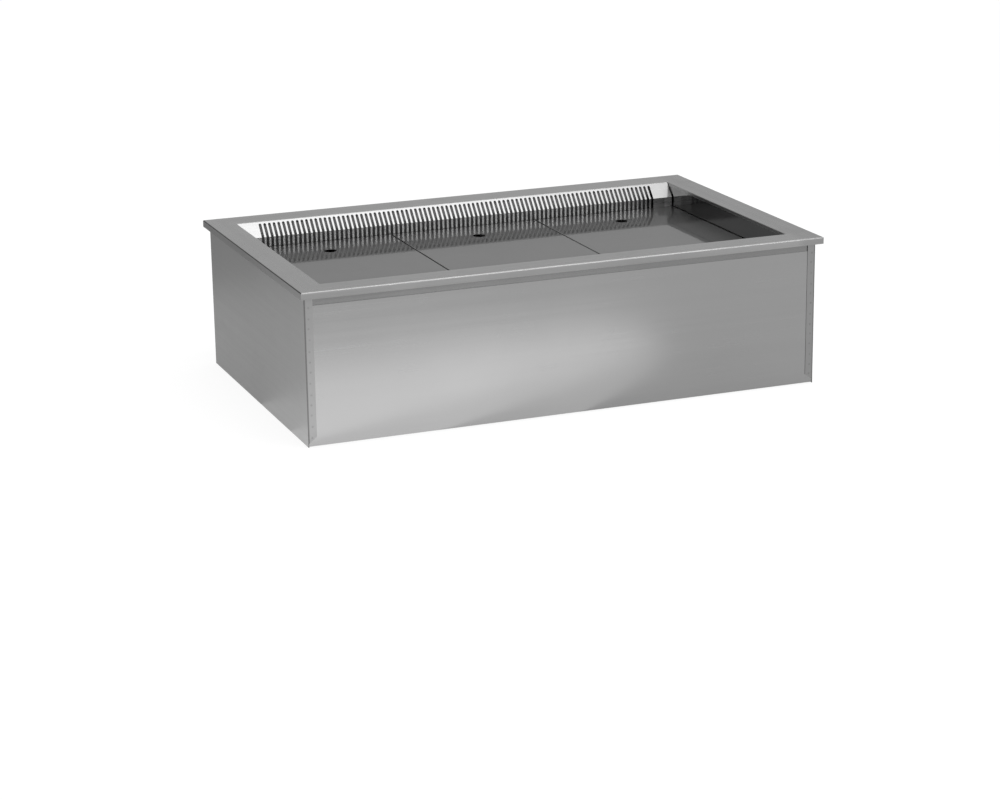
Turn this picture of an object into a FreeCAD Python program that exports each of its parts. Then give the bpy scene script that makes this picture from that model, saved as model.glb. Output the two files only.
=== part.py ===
import FreeCAD, Part
import os
import re
import Sketcher

# Drop-in food well with forced-air cooling, in millimetres.
# Origin at the bottom centre of the casing: +X to the right, +Y to the rear, +Z up.

# Driving sizes: each one is a cell of the sheet and can be changed by itself.
SIZES = {
    # whole well
    "length": 1100,
    "depth": 680,
    "height": 308,
    # rim frame
    "rim_sheet": 1.5,
    "rim_lip": 14,
    "rim_over_side": 10,
    "rim_over_front": 16,
    "margin_side": 55.5,
    "margin_front": 55.5,
    "margin_rear": 62,
    "rim_turn_down": 8,
    "rim_bend": 2.4,
    "rim_edge": 2,
    "rim_seal": 5,
    # casing
    "casing_sheet": 1,
    "casing_bend": 2,
    "casing_corner": 0.8,
    "strip": 17,
    "strip_start": 7,
    "strip_mitre": 13,
    "band": 30.5,
    "collar_lap": 12,
    "collar_flange": 8,
    # tank
    "tank_sheet": 1,
    "tank_floor": 61,
    "tank_flange": 10,
    "return_duct": 14,
    "sump_size": 76,
    "sump_drop": 6,
    "sump_forward": 110,
    # base plates
    "plate_drop": 49,
    "plate_sheet": 1.2,
    "plate_fold": 15,
    "plate_bend": 1.5,
    "plate_gap": 2.5,
    "plate_side_gap": 0.75,
    "plate_front_gap": 1,
    "plate_rear_gap": 2.5,
    "finger_hole": 13,
    "finger_inset": 90,
    # rear air grille
    "grille_sheet": 1,
    "grille_bend": 1,
    "slope_run": 25.5,
    "slope_fall": 29,
    "grille_top_gap": 0.3,
    "grille_end_gap": 1,
    "grille_hem": 8,
    "slot_pitch": 10.14,
    "slot_width": 6,
    "slot_end_margin": 44,
    "slot_top_web": 4,
    "slot_corner": 1.8,
    "slot_foot": 8,
    # front return grille with the plates' ledge
    "return_sheet": 1,
    "ledge": 15,
    "ledge_lip": 10,
    "vent_length": 30,
    "vent_height": 7,
    "vent_pitch": 40,
    "vent_rise": 15,
    "vent_end_margin": 12,
    # bearers and ledges below the plates
    "bearer_width": 24,
    "bearer_height": 20,
    "bearer_sheet": 1.5,
    "cover_ledge": 15,
    "ledge_sheet": 1.5,
    # fan plate and coil cover
    "fan_plate_sheet": 1.2,
    "fan_plate_flange": 15,
    "fan_plate_foot": 14,
    "weep_length": 40,
    "weep_height": 5,
    "cover_sheet": 1,
    "cover_drop": 15,
    "cover_end_gap": 0.5,
    # fans
    "fan_place": 215,
    "fan_size": 119,
    "fan_deep": 38,
    "fan_wall": 3.5,
    "fan_opening_lap": 2,
    "motor_radius": 22,
    "motor_deep": 13,
    "strut_width": 7,
    "strut_deep": 4,
    "shaft_radius": 2,
    "shaft_long": 18,
    "shaft_play": 0.05,
    "hub_radius": 24,
    "hub_deep": 22,
    "hub_gap": 0.3,
    "blade_sheet": 1.6,
    "blade_root": 20,
    "blade_tip": 28,
    "blade_gap": 5,
    "blade_tilt": 36,
    "blade_count": 5,
    "guard_bar": 2.5,
    "guard_count": 9,
    # evaporator
    "coil_gap": 13,
    "duct_room": 74.8,
    "coil_rise": 14,
    "tube_pitch": 50,
    "tube_radius": 4.75,
    "fin_edge": 22,
    "fin_sheet": 0.8,
    "fin_pitch": 22,
    "end_box": 24,
    "end_foot": 12,
    "end_foot_sheet": 1.5,
    # pipes through the rear wall
    "valve_margin": 23,
    "valve_gap": 17,
    "valve_wide": 30,
    "valve_deep": 26,
    "valve_tall": 34,
    "suction_radius": 8,
    "liquid_radius": 5,
    "socket_wall": 1.2,
    "socket_play": 0.1,
    "socket_deep": 12,
    "pipe_out": 14,
    "pipe_seat": 0.3,
    "plug_edge": 16,
    "plug_lip": 6,
    "plug_lip_sheet": 3,
    # drain
    "drain_bore": 10,
    "drain_wall": 2,
    "drain_flange": 20,
    "drain_flange_sheet": 2,
    "drain_end_rise": 6,
    "drain_opening": 20,
    "strainer_sheet": 1.2,
    "strainer_gap": 1,
    "strainer_slot": 5,
    "strainer_slot_long": 44,
    "strainer_pitch": 11,
    "strainer_count": 5,
    # junction box and cable way
    "box_margin": 6,
    "box_wide": 54,
    "box_deep": 20,
    "box_tall": 72,
    "box_rise": 28,
    "box_wall": 2,
    "box_lid": 2.5,
    "cable_radius": 5,
    "conduit_wall": 2,
    "conduit_half": 9,
    "grommet_lip": 3,
    "grommet_lip_sheet": 2,
    # temperature probe
    "probe_radius": 3,
    "probe_long": 40,
    "probe_place": 60,
    "probe_drop": 31,
    "clip_sheet": 1,
    "clip_wide": 10,
    "clip_ear": 9,
    # shared
    "overrun": 5,
}

# Sizes that follow from the driving ones.
DERIVED = {
    "half_length": "length / 2",
    "half_depth": "depth / 2",
    "rim_under": "height - rim_sheet",
    "lip_bottom": "height - rim_lip",
    "open_side": "half_length - margin_side",
    "open_front": "half_depth - margin_front",
    "open_rear": "half_depth - margin_rear",
    "case_side": "half_length - rim_over_side",
    "case_front": "half_depth - rim_over_front",
    "wrap_side": "case_side - casing_sheet",
    "wrap_front": "case_front - casing_sheet",
    "collar_front": "wrap_front - casing_sheet",
    "wrap_top": "height - band",
    "collar_bottom": "wrap_top - collar_lap",
    "tank_side": "open_side + rim_sheet",
    "tank_rear": "open_rear + rim_sheet",
    "return_face": "open_front + rim_sheet",
    "tank_front": "return_face + return_sheet + return_duct",
    "tank_side_out": "tank_side + tank_sheet",
    "tank_rear_out": "tank_rear + tank_sheet",
    "tank_front_out": "tank_front + tank_sheet",
    "tank_inside": "tank_floor + tank_sheet",
    "sump_half": "sump_size / 2",
    "sump_floor": "tank_inside - sump_drop",
    "strainer_span": "(strainer_count - 1) * strainer_pitch",
    "plate_top": "height - plate_drop",
    "plate_foot": "plate_top - plate_fold",
    "plate_length": "(2 * (open_side - plate_side_gap - plate_gap)) / 3",
    "plate_pitch": "plate_length + plate_gap",
    "grille_face": "open_rear - slope_run",
    "plate_rear": "grille_face - plate_rear_gap",
    "plate_front": "open_front - plate_front_gap",
    "finger_back": "plate_rear - finger_inset",
    "cover_under": "plate_foot - cover_sheet",
    "slope_length": "sqrt(slope_run * slope_run + slope_fall * slope_fall)",
    "fall_share": "slope_fall / slope_length",
    "run_share": "slope_run / slope_length",
    "mitre_share": "(slope_length - slope_fall) / slope_run",
    "bend_height": "height - slope_fall",
    "grille_run": "slope_run - grille_top_gap - grille_sheet * fall_share",
    "grille_rise": "grille_run * slope_fall / slope_run",
    "grille_half": "open_side - grille_end_gap",
    "slot_count": "floor((2 * grille_half - 2 * slot_end_margin) / slot_pitch) + 1",
    "slot_span": "(slot_count - 1) * slot_pitch",
    "slot_half": "slot_width / 2",
    "slot_top": "height - slot_top_web",
    "slot_bottom": "cover_under + slot_foot",
    "vent_bottom": "plate_top + vent_rise",
    "vent_count": "floor((2 * tank_side - 2 * vent_end_margin - vent_length) / vent_pitch) + 1",
    "vent_span": "(vent_count - 1) * vent_pitch",
    "ledge_front": "return_face - ledge",
    "coil_back": "tank_rear - duct_room",
    "tube_back": "coil_back - fin_edge",
    "tube_front": "tube_back - tube_pitch",
    "coil_front": "tube_front - fin_edge",
    "coil_bottom": "tank_inside + coil_rise",
    "tube_low": "coil_bottom + fin_edge",
    "tube_high": "tube_low + tube_pitch",
    "coil_top": "tube_high + fin_edge",
    "pipe_place": "tank_side - valve_margin - valve_wide / 2",
    "coil_end": "pipe_place - valve_wide / 2 - valve_gap",
    "coil_half_length": "coil_end - end_box",
    "suction_place": "coil_half_length + end_box / 2",
    "fan_back": "coil_front - coil_gap - fan_deep",
    "fan_plate_front": "fan_back - fan_plate_sheet",
    "fan_height": "(tank_inside + cover_under) / 2",
    "fan_bore": "fan_size / 2 - fan_wall",
    "fan_opening": "fan_bore - fan_opening_lap",
    "blade_reach": "fan_bore - blade_gap",
    "fin_count": "floor((2 * coil_half_length - fin_pitch) / fin_pitch) + 1",
    "fin_span": "(fin_count - 1) * fin_pitch",
    "pipe_end": "case_front + pipe_out",
    "box_place": "tank_side - box_margin - box_wide / 2",
    "box_height": "tank_inside + box_rise + box_tall / 2",
}

TOLERANCE = 1e-3

doc = FreeCAD.newDocument("food_well")
sheet = doc.addObject("Spreadsheet::Sheet", "sizes")
written = {}


def fill_sheet():
    """Writes every size into the sheet, one row each, with its name as alias."""
    rows = [(name, str(value)) for name, value in SIZES.items()]
    rows += [(name, "=" + formula) for name, formula in DERIVED.items()]
    for row, (name, text) in enumerate(rows, start=1):
        sheet.set("A%d" % row, name)
        sheet.set("B%d" % row, text)
        sheet.setAlias("B%d" % row, name)
    doc.recompute()


def bound(text):
    """A sum of size names, written as the document's expressions want it."""
    return re.sub(r"\b[a-z][a-z_]+\b", lambda found: "sizes." + found.group(0), text)


def amount(text):
    """The present value of a sum of size names."""
    return float(sheet.evalExpression(bound(text)))


# Helpers for bodies, sketches and features

def new_body(name):
    body = doc.addObject("PartDesign::Body", name)
    body.Label = name
    return body


def origin_part(body, role):
    """One of the body's own origin planes or axes."""
    return next(part for part in body.Origin.OriginFeatures if part.Role == role)


def polygon(*corners):
    """A closed outline through corners given as pairs of sums."""
    def draw(sketch):
        first = sketch.GeometryCount
        spots = [FreeCAD.Vector(amount(across), amount(up), 0) for across, up in corners]
        for index, spot in enumerate(spots):
            sketch.addGeometry(Part.LineSegment(spot, spots[(index + 1) % len(spots)]))
        for index, corner in enumerate(corners):
            after = first + (index + 1) % len(corners)
            sketch.addConstraint(Sketcher.Constraint("Coincident", first + index, 2, after, 1))
            fix_point(sketch, first + index, 1, corner)
    return draw


def rectangle(left, right, low, high):
    return polygon((left, low), (right, low), (right, high), (left, high))


def circle(across, up, radius):
    def draw(sketch):
        centre = FreeCAD.Vector(amount(across), amount(up), 0)
        index = sketch.addGeometry(Part.Circle(centre, FreeCAD.Vector(0, 0, 1), amount(radius)))
        fix_point(sketch, index, 3, (across, up))
        rule = sketch.addConstraint(Sketcher.Constraint("Radius", index, amount(radius)))
        sketch.setExpression("Constraints[%d]" % rule, bound(radius))
    return draw


def fix_point(sketch, geometry, point, place):
    """Ties a point of a sketch to its place, given as two sums."""
    for kind, axis, text in (("DistanceX", -2, place[0]), ("DistanceY", -1, place[1])):
        if text == "0":
            sketch.addConstraint(Sketcher.Constraint("PointOnObject", geometry, point, axis))
            continue
        rule = sketch.addConstraint(Sketcher.Constraint(kind, -1, 1, geometry, point, amount(text)))
        sketch.setExpression("Constraints[%d]" % rule, bound(text))


def new_sketch(body, name, plane, at, outlines):
    """A sketch on one of the body's origin planes, moved along that plane's normal to the place at."""
    sketch = body.newObject("Sketcher::SketchObject", name)
    sketch.AttachmentSupport = [(origin_part(body, plane + "_Plane"), "")]
    sketch.MapMode = "FlatFace"
    away = "-(%s)" % at if plane == "XZ" else at
    sketch.setExpression("AttachmentOffset.Base.z", bound(away))
    for draw in outlines:
        draw(sketch)
    return sketch


def volume_of(body):
    return body.Shape.Volume if body.Tip else 0


def pad(body, name, plane, outlines, low, high):
    """Adds the outlines, pulled from low to high across their plane."""
    before = volume_of(body)
    start = high if plane == "XZ" else low
    feature_sketch = new_sketch(body, name + "_sketch", plane, start, outlines)
    feature = body.newObject("PartDesign::Pad", name)
    feature.Profile = feature_sketch
    feature.setExpression("Length", bound("(%s) - (%s)" % (high, low)))
    doc.recompute()
    if volume_of(body) <= before:
        raise RuntimeError(name + " adds nothing")
    return feature


def pocket(body, name, plane, outlines, low, high):
    """Cuts the outlines, pushed from high to low across their plane."""
    before = volume_of(body)
    start = low if plane == "XZ" else high
    feature_sketch = new_sketch(body, name + "_sketch", plane, start, outlines)
    feature = body.newObject("PartDesign::Pocket", name)
    feature.Profile = feature_sketch
    feature.setExpression("Length", bound("(%s) - (%s)" % (high, low)))
    doc.recompute()
    if volume_of(body) >= before:
        raise RuntimeError(name + " cuts nothing")
    return feature


def matches(centre, spot):
    """True if an edge's centre lies at the spot; a part of the spot that is None is free."""
    return all(text is None or abs(value - amount(text)) < TOLERANCE for value, text in zip(centre, spot))


def fillet(body, name, spots, radius):
    """Rounds the edges whose centres lie at the spots."""
    base = body.Tip
    names = []
    for index, edge in enumerate(base.Shape.Edges, start=1):
        if any(matches(edge.CenterOfMass, spot) for spot in spots):
            names.append("Edge%d" % index)
    if len(names) < len(spots):
        raise RuntimeError(name + " misses an edge")
    feature = body.newObject("PartDesign::Fillet", name)
    feature.Base = (base, names)
    feature.setExpression("Radius", bound(radius))
    doc.recompute()
    return feature


def row_of(body, name, features, axis, span, count):
    """Repeats features in a straight row along one of the body's axes."""
    feature = body.newObject("PartDesign::LinearPattern", name)
    feature.Originals = features
    feature.Direction = (origin_part(body, axis + "_Axis"), [""])
    feature.setExpression("Length", bound(span))
    feature.setExpression("Occurrences", bound(count))
    body.Tip = feature
    doc.recompute()
    return feature


def ring_of(body, name, features, axis, count):
    """Repeats features in a full circle about one of the body's axes."""
    feature = body.newObject("PartDesign::PolarPattern", name)
    feature.Originals = features
    feature.Axis = (origin_part(body, axis + "_Axis"), [""])
    feature.Angle = 360
    feature.setExpression("Occurrences", bound(count))
    body.Tip = feature
    doc.recompute()
    return feature


def place(body, across="0", back="0", up="0"):
    """Sets the body's own placement from three sums."""
    for axis, text in (("x", across), ("y", back), ("z", up)):
        if text != "0":
            body.setExpression("Placement.Base." + axis, bound(text))


def keep(node, part):
    """Marks an object as the finished sub-part of that name."""
    part.Label = node
    written[node] = part


# Rim and casing

def rim_frame():
    body = new_body("rim_frame")
    opening = rectangle("-open_side", "open_side", "-open_front", "open_rear")
    turned = rectangle("-tank_side", "tank_side", "-return_face", "tank_rear")
    lip_inside = rectangle("rim_sheet - half_length", "half_length - rim_sheet",
                           "rim_sheet - half_depth", "half_depth - rim_sheet")
    pad(body, "rim_top", "XY", [rectangle("-half_length", "half_length", "-half_depth", "half_depth")],
        "lip_bottom", "height")
    pocket(body, "rim_opening", "XY", [opening], "lip_bottom", "height")
    pocket(body, "rim_underside", "XY", [lip_inside, turned], "lip_bottom", "rim_under")
    pocket(body, "below_turn_down", "XY", [turned], "lip_bottom", "height - rim_turn_down")
    fillet(body, "rim_outer_bend", [("half_length", "0", "height"), ("-half_length", "0", "height"),
                                    ("0", "half_depth", "height"), ("0", "-half_depth", "height")],
           "rim_bend")
    fillet(body, "rim_inner_bend", [("open_side", None, "height"), ("-open_side", None, "height"),
                                    ("0", "open_rear", "height"), ("0", "-open_front", "height")],
           "rim_edge")
    keep("rim_frame", body)


def rim_seal():
    """The strip that seals the rim on the worktop, inside the lip."""
    body = new_body("rim_seal")
    outer = rectangle("rim_sheet - half_length", "half_length - rim_sheet",
                      "rim_sheet - half_depth", "half_depth - rim_sheet")
    inner = rectangle("rim_sheet + rim_seal - half_length", "half_length - rim_sheet - rim_seal",
                      "rim_sheet + rim_seal - half_depth", "half_depth - rim_sheet - rim_seal")
    pad(body, "seal_strip", "XY", [outer, inner], "lip_bottom", "rim_under")
    keep("rim_seal", body)


def collar_frame():
    """The recessed frame that shows as a band between the lip and the front panel."""
    body = new_body("collar_frame")
    outer = rectangle("-wrap_side", "wrap_side", "-collar_front", "collar_front")
    inner = rectangle("casing_sheet - wrap_side", "wrap_side - casing_sheet",
                      "casing_sheet - collar_front", "collar_front - casing_sheet")
    flange = rectangle("collar_flange - wrap_side", "wrap_side - collar_flange",
                       "collar_flange - collar_front", "collar_front - collar_flange")
    pad(body, "collar_band", "XY", [outer, inner], "collar_bottom", "rim_under")
    pad(body, "collar_top", "XY", [outer, flange], "rim_under - casing_sheet", "rim_under")
    keep("collar_frame", body)


def casing_wrap():
    """Front, bottom and rear panel, folded from one sheet."""
    body = new_body("casing_wrap")
    outline = polygon(("-wrap_front", "casing_sheet"), ("wrap_front", "casing_sheet"),
                      ("wrap_front", "wrap_top"), ("wrap_front - casing_sheet", "wrap_top"),
                      ("wrap_front - casing_sheet", "2 * casing_sheet"),
                      ("casing_sheet - wrap_front", "2 * casing_sheet"),
                      ("casing_sheet - wrap_front", "wrap_top"), ("-wrap_front", "wrap_top"))
    pad(body, "wrap_profile", "YZ", [outline], "-wrap_side", "wrap_side")
    fillet(body, "wrap_bend_inside", [("0", "casing_sheet - wrap_front", "2 * casing_sheet"),
                                      ("0", "wrap_front - casing_sheet", "2 * casing_sheet")],
           "casing_bend")
    fillet(body, "wrap_bend_outside", [("0", "-wrap_front", "casing_sheet"),
                                       ("0", "wrap_front", "casing_sheet")],
           "casing_bend + casing_sheet")
    pocket(body, "drain_way", "XY", [circle("0", "-sump_forward", "drain_opening")],
           "-overrun", "overrun")
    pocket(body, "pipe_way", "XZ", [pipe_window()], "wrap_front - overrun", "wrap_front + overrun")
    pocket(body, "cable_way", "XZ", [cable_window()],
           "wrap_front - overrun", "wrap_front + overrun")
    keep("casing_wrap", body)


def side_panel():
    """The right side panel with its return flanges, and the left one as its mirror image."""
    body = new_body("side_panel_right")
    lip = "strip_start + strip_mitre"
    flange = polygon(("case_side - strip", lip), ("case_side", "strip_start"),
                     ("case_side", "rim_under"), ("case_side - strip", "rim_under"))
    foot = polygon(("case_side", "strip_start - case_front"), ("case_side", "case_front - strip_start"),
                   ("case_side - strip", "case_front - (%s)" % lip),
                   ("case_side - strip", "%s - case_front" % lip))
    pad(body, "side_web", "YZ", [rectangle("-case_front", "case_front", "0", "rim_under")],
        "wrap_side", "case_side")
    pad(body, "front_strip", "XZ", [flange], "-case_front", "-wrap_front")
    pad(body, "rear_strip", "XZ", [flange], "wrap_front", "case_front")
    pad(body, "foot_strip", "XY", [foot], "0", "casing_sheet")
    fillet(body, "corner_bend", [("case_side", "-case_front", "rim_under / 2"),
                                 ("case_side", "case_front", "rim_under / 2")], "casing_corner")
    mirrored = doc.addObject("Part::Mirroring", "side_panel_left")
    mirrored.Source = body
    mirrored.Normal = FreeCAD.Vector(1, 0, 0)
    keep("side_panel_right", body)
    keep("side_panel_left", mirrored)


def pipe_window(margin="0"):
    """The opening in the rear walls that the pipes' plug fills."""
    return rectangle("suction_place - plug_edge - (%s)" % margin,
                     "pipe_place + plug_edge + (%s)" % margin,
                     "tube_low - plug_edge - (%s)" % margin, "tube_high + plug_edge + (%s)" % margin)


def cable_window():
    """The square opening of the cable way in the rear walls."""
    return rectangle("-box_place - conduit_half", "conduit_half - box_place",
                     "box_height - conduit_half", "box_height + conduit_half")


def insulation():
    """Foam between casing and tank."""
    body = new_body("insulation")
    narrow = rectangle("casing_sheet - wrap_side", "wrap_side - casing_sheet",
                       "casing_sheet - collar_front", "collar_front - casing_sheet")
    tank = rectangle("-tank_side_out", "tank_side_out", "-tank_front_out", "tank_rear_out")
    under = "rim_under - casing_sheet"
    pad(body, "foam_block", "XY", [rectangle("-wrap_side", "wrap_side", "-collar_front", "collar_front")],
        "2 * casing_sheet + casing_bend", "collar_bottom")
    pad(body, "foam_foot", "XY", [rectangle("-wrap_side", "wrap_side", "casing_bend - collar_front",
                                            "collar_front - casing_bend")],
        "2 * casing_sheet", "2 * casing_sheet + casing_bend")
    pad(body, "foam_top", "XY", [narrow], "collar_bottom", under)
    pocket(body, "tank_space", "XY", [tank], "tank_floor", under)
    pocket(body, "sump_space", "XY", [sump("tank_sheet")], "sump_floor - tank_sheet", "tank_floor")
    pocket(body, "drain_space", "XY", [rectangle("-drain_opening", "drain_opening",
                                                 "-sump_forward - drain_opening",
                                                 "drain_opening - sump_forward")],
           "casing_sheet", "tank_floor")
    pocket(body, "pipe_space", "XZ", [pipe_window()], "tank_rear", "wrap_front")
    pocket(body, "cable_space", "XZ", [cable_window()],
           "tank_rear", "wrap_front")
    keep("insulation", body)


# Tank

def sump(margin):
    """The outline of the square sump, widened by a margin."""
    return rectangle("-sump_half - (%s)" % margin, "sump_half + (%s)" % margin,
                     "-sump_forward - sump_half - (%s)" % margin, "sump_half - sump_forward + (%s)" % margin)


def tank_liner():
    body = new_body("tank_liner")
    outside = rectangle("-tank_side_out", "tank_side_out", "-tank_front_out", "tank_rear_out")
    inside = rectangle("-tank_side", "tank_side", "-tank_front", "tank_rear")
    rolled = rectangle("-tank_side_out - tank_flange", "tank_side_out + tank_flange",
                       "-tank_front_out - tank_flange", "tank_rear_out + tank_flange")
    pad(body, "tank_block", "XY", [outside], "tank_floor", "rim_under")
    pad(body, "tank_flange", "XY", [rolled], "rim_under - tank_sheet", "rim_under")
    pad(body, "sump_block", "XY", [sump("tank_sheet")], "sump_floor - tank_sheet", "tank_floor")
    pocket(body, "tank_hollow", "XY", [inside], "tank_inside", "rim_under")
    pocket(body, "sump_hollow", "XY", [sump("0")], "sump_floor", "tank_inside")
    pocket(body, "drain_hole", "XY", [circle("0", "-sump_forward", "drain_bore + drain_wall")],
           "sump_floor - overrun", "sump_floor")
    pocket(body, "pipe_hole", "XZ", [pipe_window()], "tank_rear - overrun", "tank_rear + overrun")
    pocket(body, "cable_hole", "XZ", [circle("-box_place", "box_height", "cable_radius")],
           "tank_rear - overrun", "tank_rear + overrun")
    keep("tank_liner", body)


def drain_outlet():
    """The welded drain spigot, flush above the casing's bottom."""
    body = new_body("drain_outlet")
    pad(body, "drain_flange", "XY", [square("drain_flange")],
        "sump_floor", "sump_floor + drain_flange_sheet")
    pad(body, "drain_tube", "XY", [circle("0", "0", "drain_bore + drain_wall")],
        "drain_end_rise", "sump_floor")
    pocket(body, "drain_way", "XY", [circle("0", "0", "drain_bore")],
           "drain_end_rise", "sump_floor + drain_flange_sheet")
    place(body, back="-sump_forward")
    keep("drain_outlet", body)


def drain_strainer():
    """The slotted cover over the sump; it lies on the tank's floor and lifts out."""
    body = new_body("drain_strainer")
    half = "sump_half + strainer_gap + strainer_pitch / 2"
    edge = rectangle("-(%s)" % half, half, "-(%s)" % half, half)
    well = rectangle("strainer_gap - sump_half", "sump_half - strainer_gap",
                     "strainer_gap - sump_half", "sump_half - strainer_gap")
    slot = rectangle("-strainer_slot_long / 2", "strainer_slot_long / 2",
                     "-strainer_slot / 2 - strainer_span / 2", "strainer_slot / 2 - strainer_span / 2")
    pad(body, "strainer_plate", "XY", [edge], "tank_inside", "tank_inside + strainer_sheet")
    pad(body, "strainer_rim", "XY", [well], "tank_inside - strainer_sheet", "tank_inside")
    cut = pocket(body, "strainer_slot", "XY", [slot], "tank_inside - overrun", "tank_inside + overrun")
    row_of(body, "strainer_slots", [cut], "Y", "strainer_span", "strainer_count")
    place(body, back="-sump_forward")
    keep("drain_strainer", body)


# Air grille, return grille and base plates

def air_grille():
    """The bent rear grille: a leaning top, a bend, an upright face with a hem, and one row of slots."""
    body = new_body("air_grille")
    face = "grille_face"
    behind = "grille_face + grille_sheet"
    top_run = "grille_face + grille_run"
    top_rise = "bend_height + grille_rise"
    outline = polygon((face, "cover_under"), (face, "bend_height"), (top_run, top_rise),
                      (top_run + " + grille_sheet * fall_share", top_rise + " - grille_sheet * run_share"),
                      (behind, "bend_height - grille_sheet * mitre_share"),
                      (behind, "cover_under + grille_sheet"),
                      ("grille_face + grille_hem", "cover_under + grille_sheet"),
                      ("grille_face + grille_hem", "cover_under"))
    pad(body, "grille_profile", "YZ", [outline], "-grille_half", "grille_half")
    fillet(body, "grille_hem_bend", [("0", face, "cover_under")], "grille_bend")
    left = "-slot_span / 2 - slot_half"
    right = "slot_half - slot_span / 2"
    slot = polygon((left, "slot_bottom"), (right, "slot_bottom"), (right, "slot_top - slot_corner"),
                   (right + " - slot_corner", "slot_top"), (left + " + slot_corner", "slot_top"),
                   (left, "slot_top - slot_corner"))
    cut = pocket(body, "grille_slot", "XZ", [slot], "grille_face - overrun", "half_depth")
    row_of(body, "grille_slots", [cut], "X", "slot_span", "slot_count")
    keep("air_grille", body)


def return_grille():
    """The upright front sheet that the air leaves through, with the ledge that carries the plates."""
    body = new_body("return_grille")
    outline = polygon(("-return_face - return_sheet", "cover_under"), ("-ledge_front", "cover_under"),
                      ("-ledge_front", "cover_under - ledge_lip"),
                      ("return_sheet - ledge_front", "cover_under - ledge_lip"),
                      ("return_sheet - ledge_front", "plate_foot"), ("-return_face", "plate_foot"),
                      ("-return_face", "rim_under"), ("-return_face - return_sheet", "rim_under"))
    pad(body, "return_profile", "YZ", [outline], "-tank_side", "tank_side")
    vent = rectangle("-vent_span / 2 - vent_length / 2", "vent_length / 2 - vent_span / 2",
                     "vent_bottom", "vent_bottom + vent_height")
    cut = pocket(body, "vent", "XZ", [vent], "-return_face - overrun", "overrun - return_face")
    row_of(body, "vents", [cut], "X", "vent_span", "vent_count")
    keep("return_grille", body)


def base_plates():
    """Three equal plates side by side, each with folded edges and a finger hole near the rear."""
    for name, step in (("left", -1), ("centre", 0), ("right", 1)):
        body = new_body("base_plate_" + name)
        half = "plate_length / 2"
        pad(body, name + "_plate", "XY", [rectangle("-" + half, half, "-plate_front", "plate_rear")],
            "plate_foot", "plate_top")
        hollow = rectangle("plate_sheet - " + half, half + " - plate_sheet",
                           "plate_sheet - plate_front", "plate_rear - plate_sheet")
        pocket(body, name + "_hollow", "XY", [hollow], "plate_foot", "plate_top - plate_sheet")
        pocket(body, name + "_finger_hole", "XY", [circle("0", "finger_back", "finger_hole")],
               "plate_top - overrun", "plate_top")
        centre = "(plate_rear - plate_front) / 2"
        fillet(body, name + "_folds", [(half, centre, "plate_top"), ("-" + half, centre, "plate_top"),
                                       ("0", "plate_rear", "plate_top"),
                                       ("0", "-plate_front", "plate_top")], "plate_bend")
        place(body, across="%d * plate_pitch" % step)
        keep("base_plate_" + name, body)


def plate_bearers():
    """Channels below the joints of the plates, from the front ledge to the fan plate."""
    for name, step in (("left", -1), ("right", 1)):
        body = new_body("plate_bearer_" + name)
        half = "bearer_width / 2"
        outline = polygon(("-" + half, "plate_foot - bearer_height"),
                          ("bearer_sheet - " + half, "plate_foot - bearer_height"),
                          ("bearer_sheet - " + half, "plate_foot - bearer_sheet"),
                          (half + " - bearer_sheet", "plate_foot - bearer_sheet"),
                          (half + " - bearer_sheet", "plate_foot - bearer_height"),
                          (half, "plate_foot - bearer_height"), (half, "plate_foot"),
                          ("-" + half, "plate_foot"))
        pad(body, name + "_channel", "XZ", [outline], "return_sheet - ledge_front", "fan_plate_front")
        place(body, across="%d * plate_pitch / 2" % step)
        keep("plate_bearer_" + name, body)


def cover_ledges():
    """Angles on the tank's end walls that carry the coil cover and the air grille's hem."""
    body = new_body("cover_ledge_right")
    outline = polygon(("tank_side", "cover_under"), ("tank_side - cover_ledge", "cover_under"),
                      ("tank_side - cover_ledge", "cover_under - ledge_sheet"),
                      ("tank_side - ledge_sheet", "cover_under - ledge_sheet"),
                      ("tank_side - ledge_sheet", "cover_under - cover_ledge"),
                      ("tank_side", "cover_under - cover_ledge"))
    pad(body, "ledge_angle", "XZ", [outline], "fan_back + fan_plate_flange", "grille_face + grille_hem")
    mirrored = doc.addObject("Part::Mirroring", "cover_ledge_left")
    mirrored.Source = body
    mirrored.Normal = FreeCAD.Vector(1, 0, 0)
    keep("cover_ledge_right", body)
    keep("cover_ledge_left", mirrored)


# Fan plate, coil cover and fans

def fan_plate():
    """The upright partition with the two fan openings."""
    body = new_body("fan_plate")
    front, back = "fan_plate_front", "fan_back"
    outline = polygon((front + " - fan_plate_foot", "tank_inside"), (back, "tank_inside"),
                      (back, "cover_under - fan_plate_sheet"),
                      (back + " + fan_plate_flange", "cover_under - fan_plate_sheet"),
                      (back + " + fan_plate_flange", "cover_under"), (front, "cover_under"),
                      (front, "tank_inside + fan_plate_sheet"),
                      (front + " - fan_plate_foot", "tank_inside + fan_plate_sheet"))
    pad(body, "partition", "YZ", [outline], "-tank_side", "tank_side")
    openings = [circle("-fan_place", "fan_height", "fan_opening"),
                circle("fan_place", "fan_height", "fan_opening")]
    pocket(body, "fan_openings", "XZ", openings, front, back)
    weeps = [rectangle("%s - weep_length / 2" % spot, "%s + weep_length / 2" % spot,
                       "tank_inside", "tank_inside + weep_height")
             for spot in ("-fan_place", "0", "fan_place")]
    pocket(body, "weep_notches", "XZ", weeps, front + " - fan_plate_foot", back)
    keep("fan_plate", body)


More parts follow.
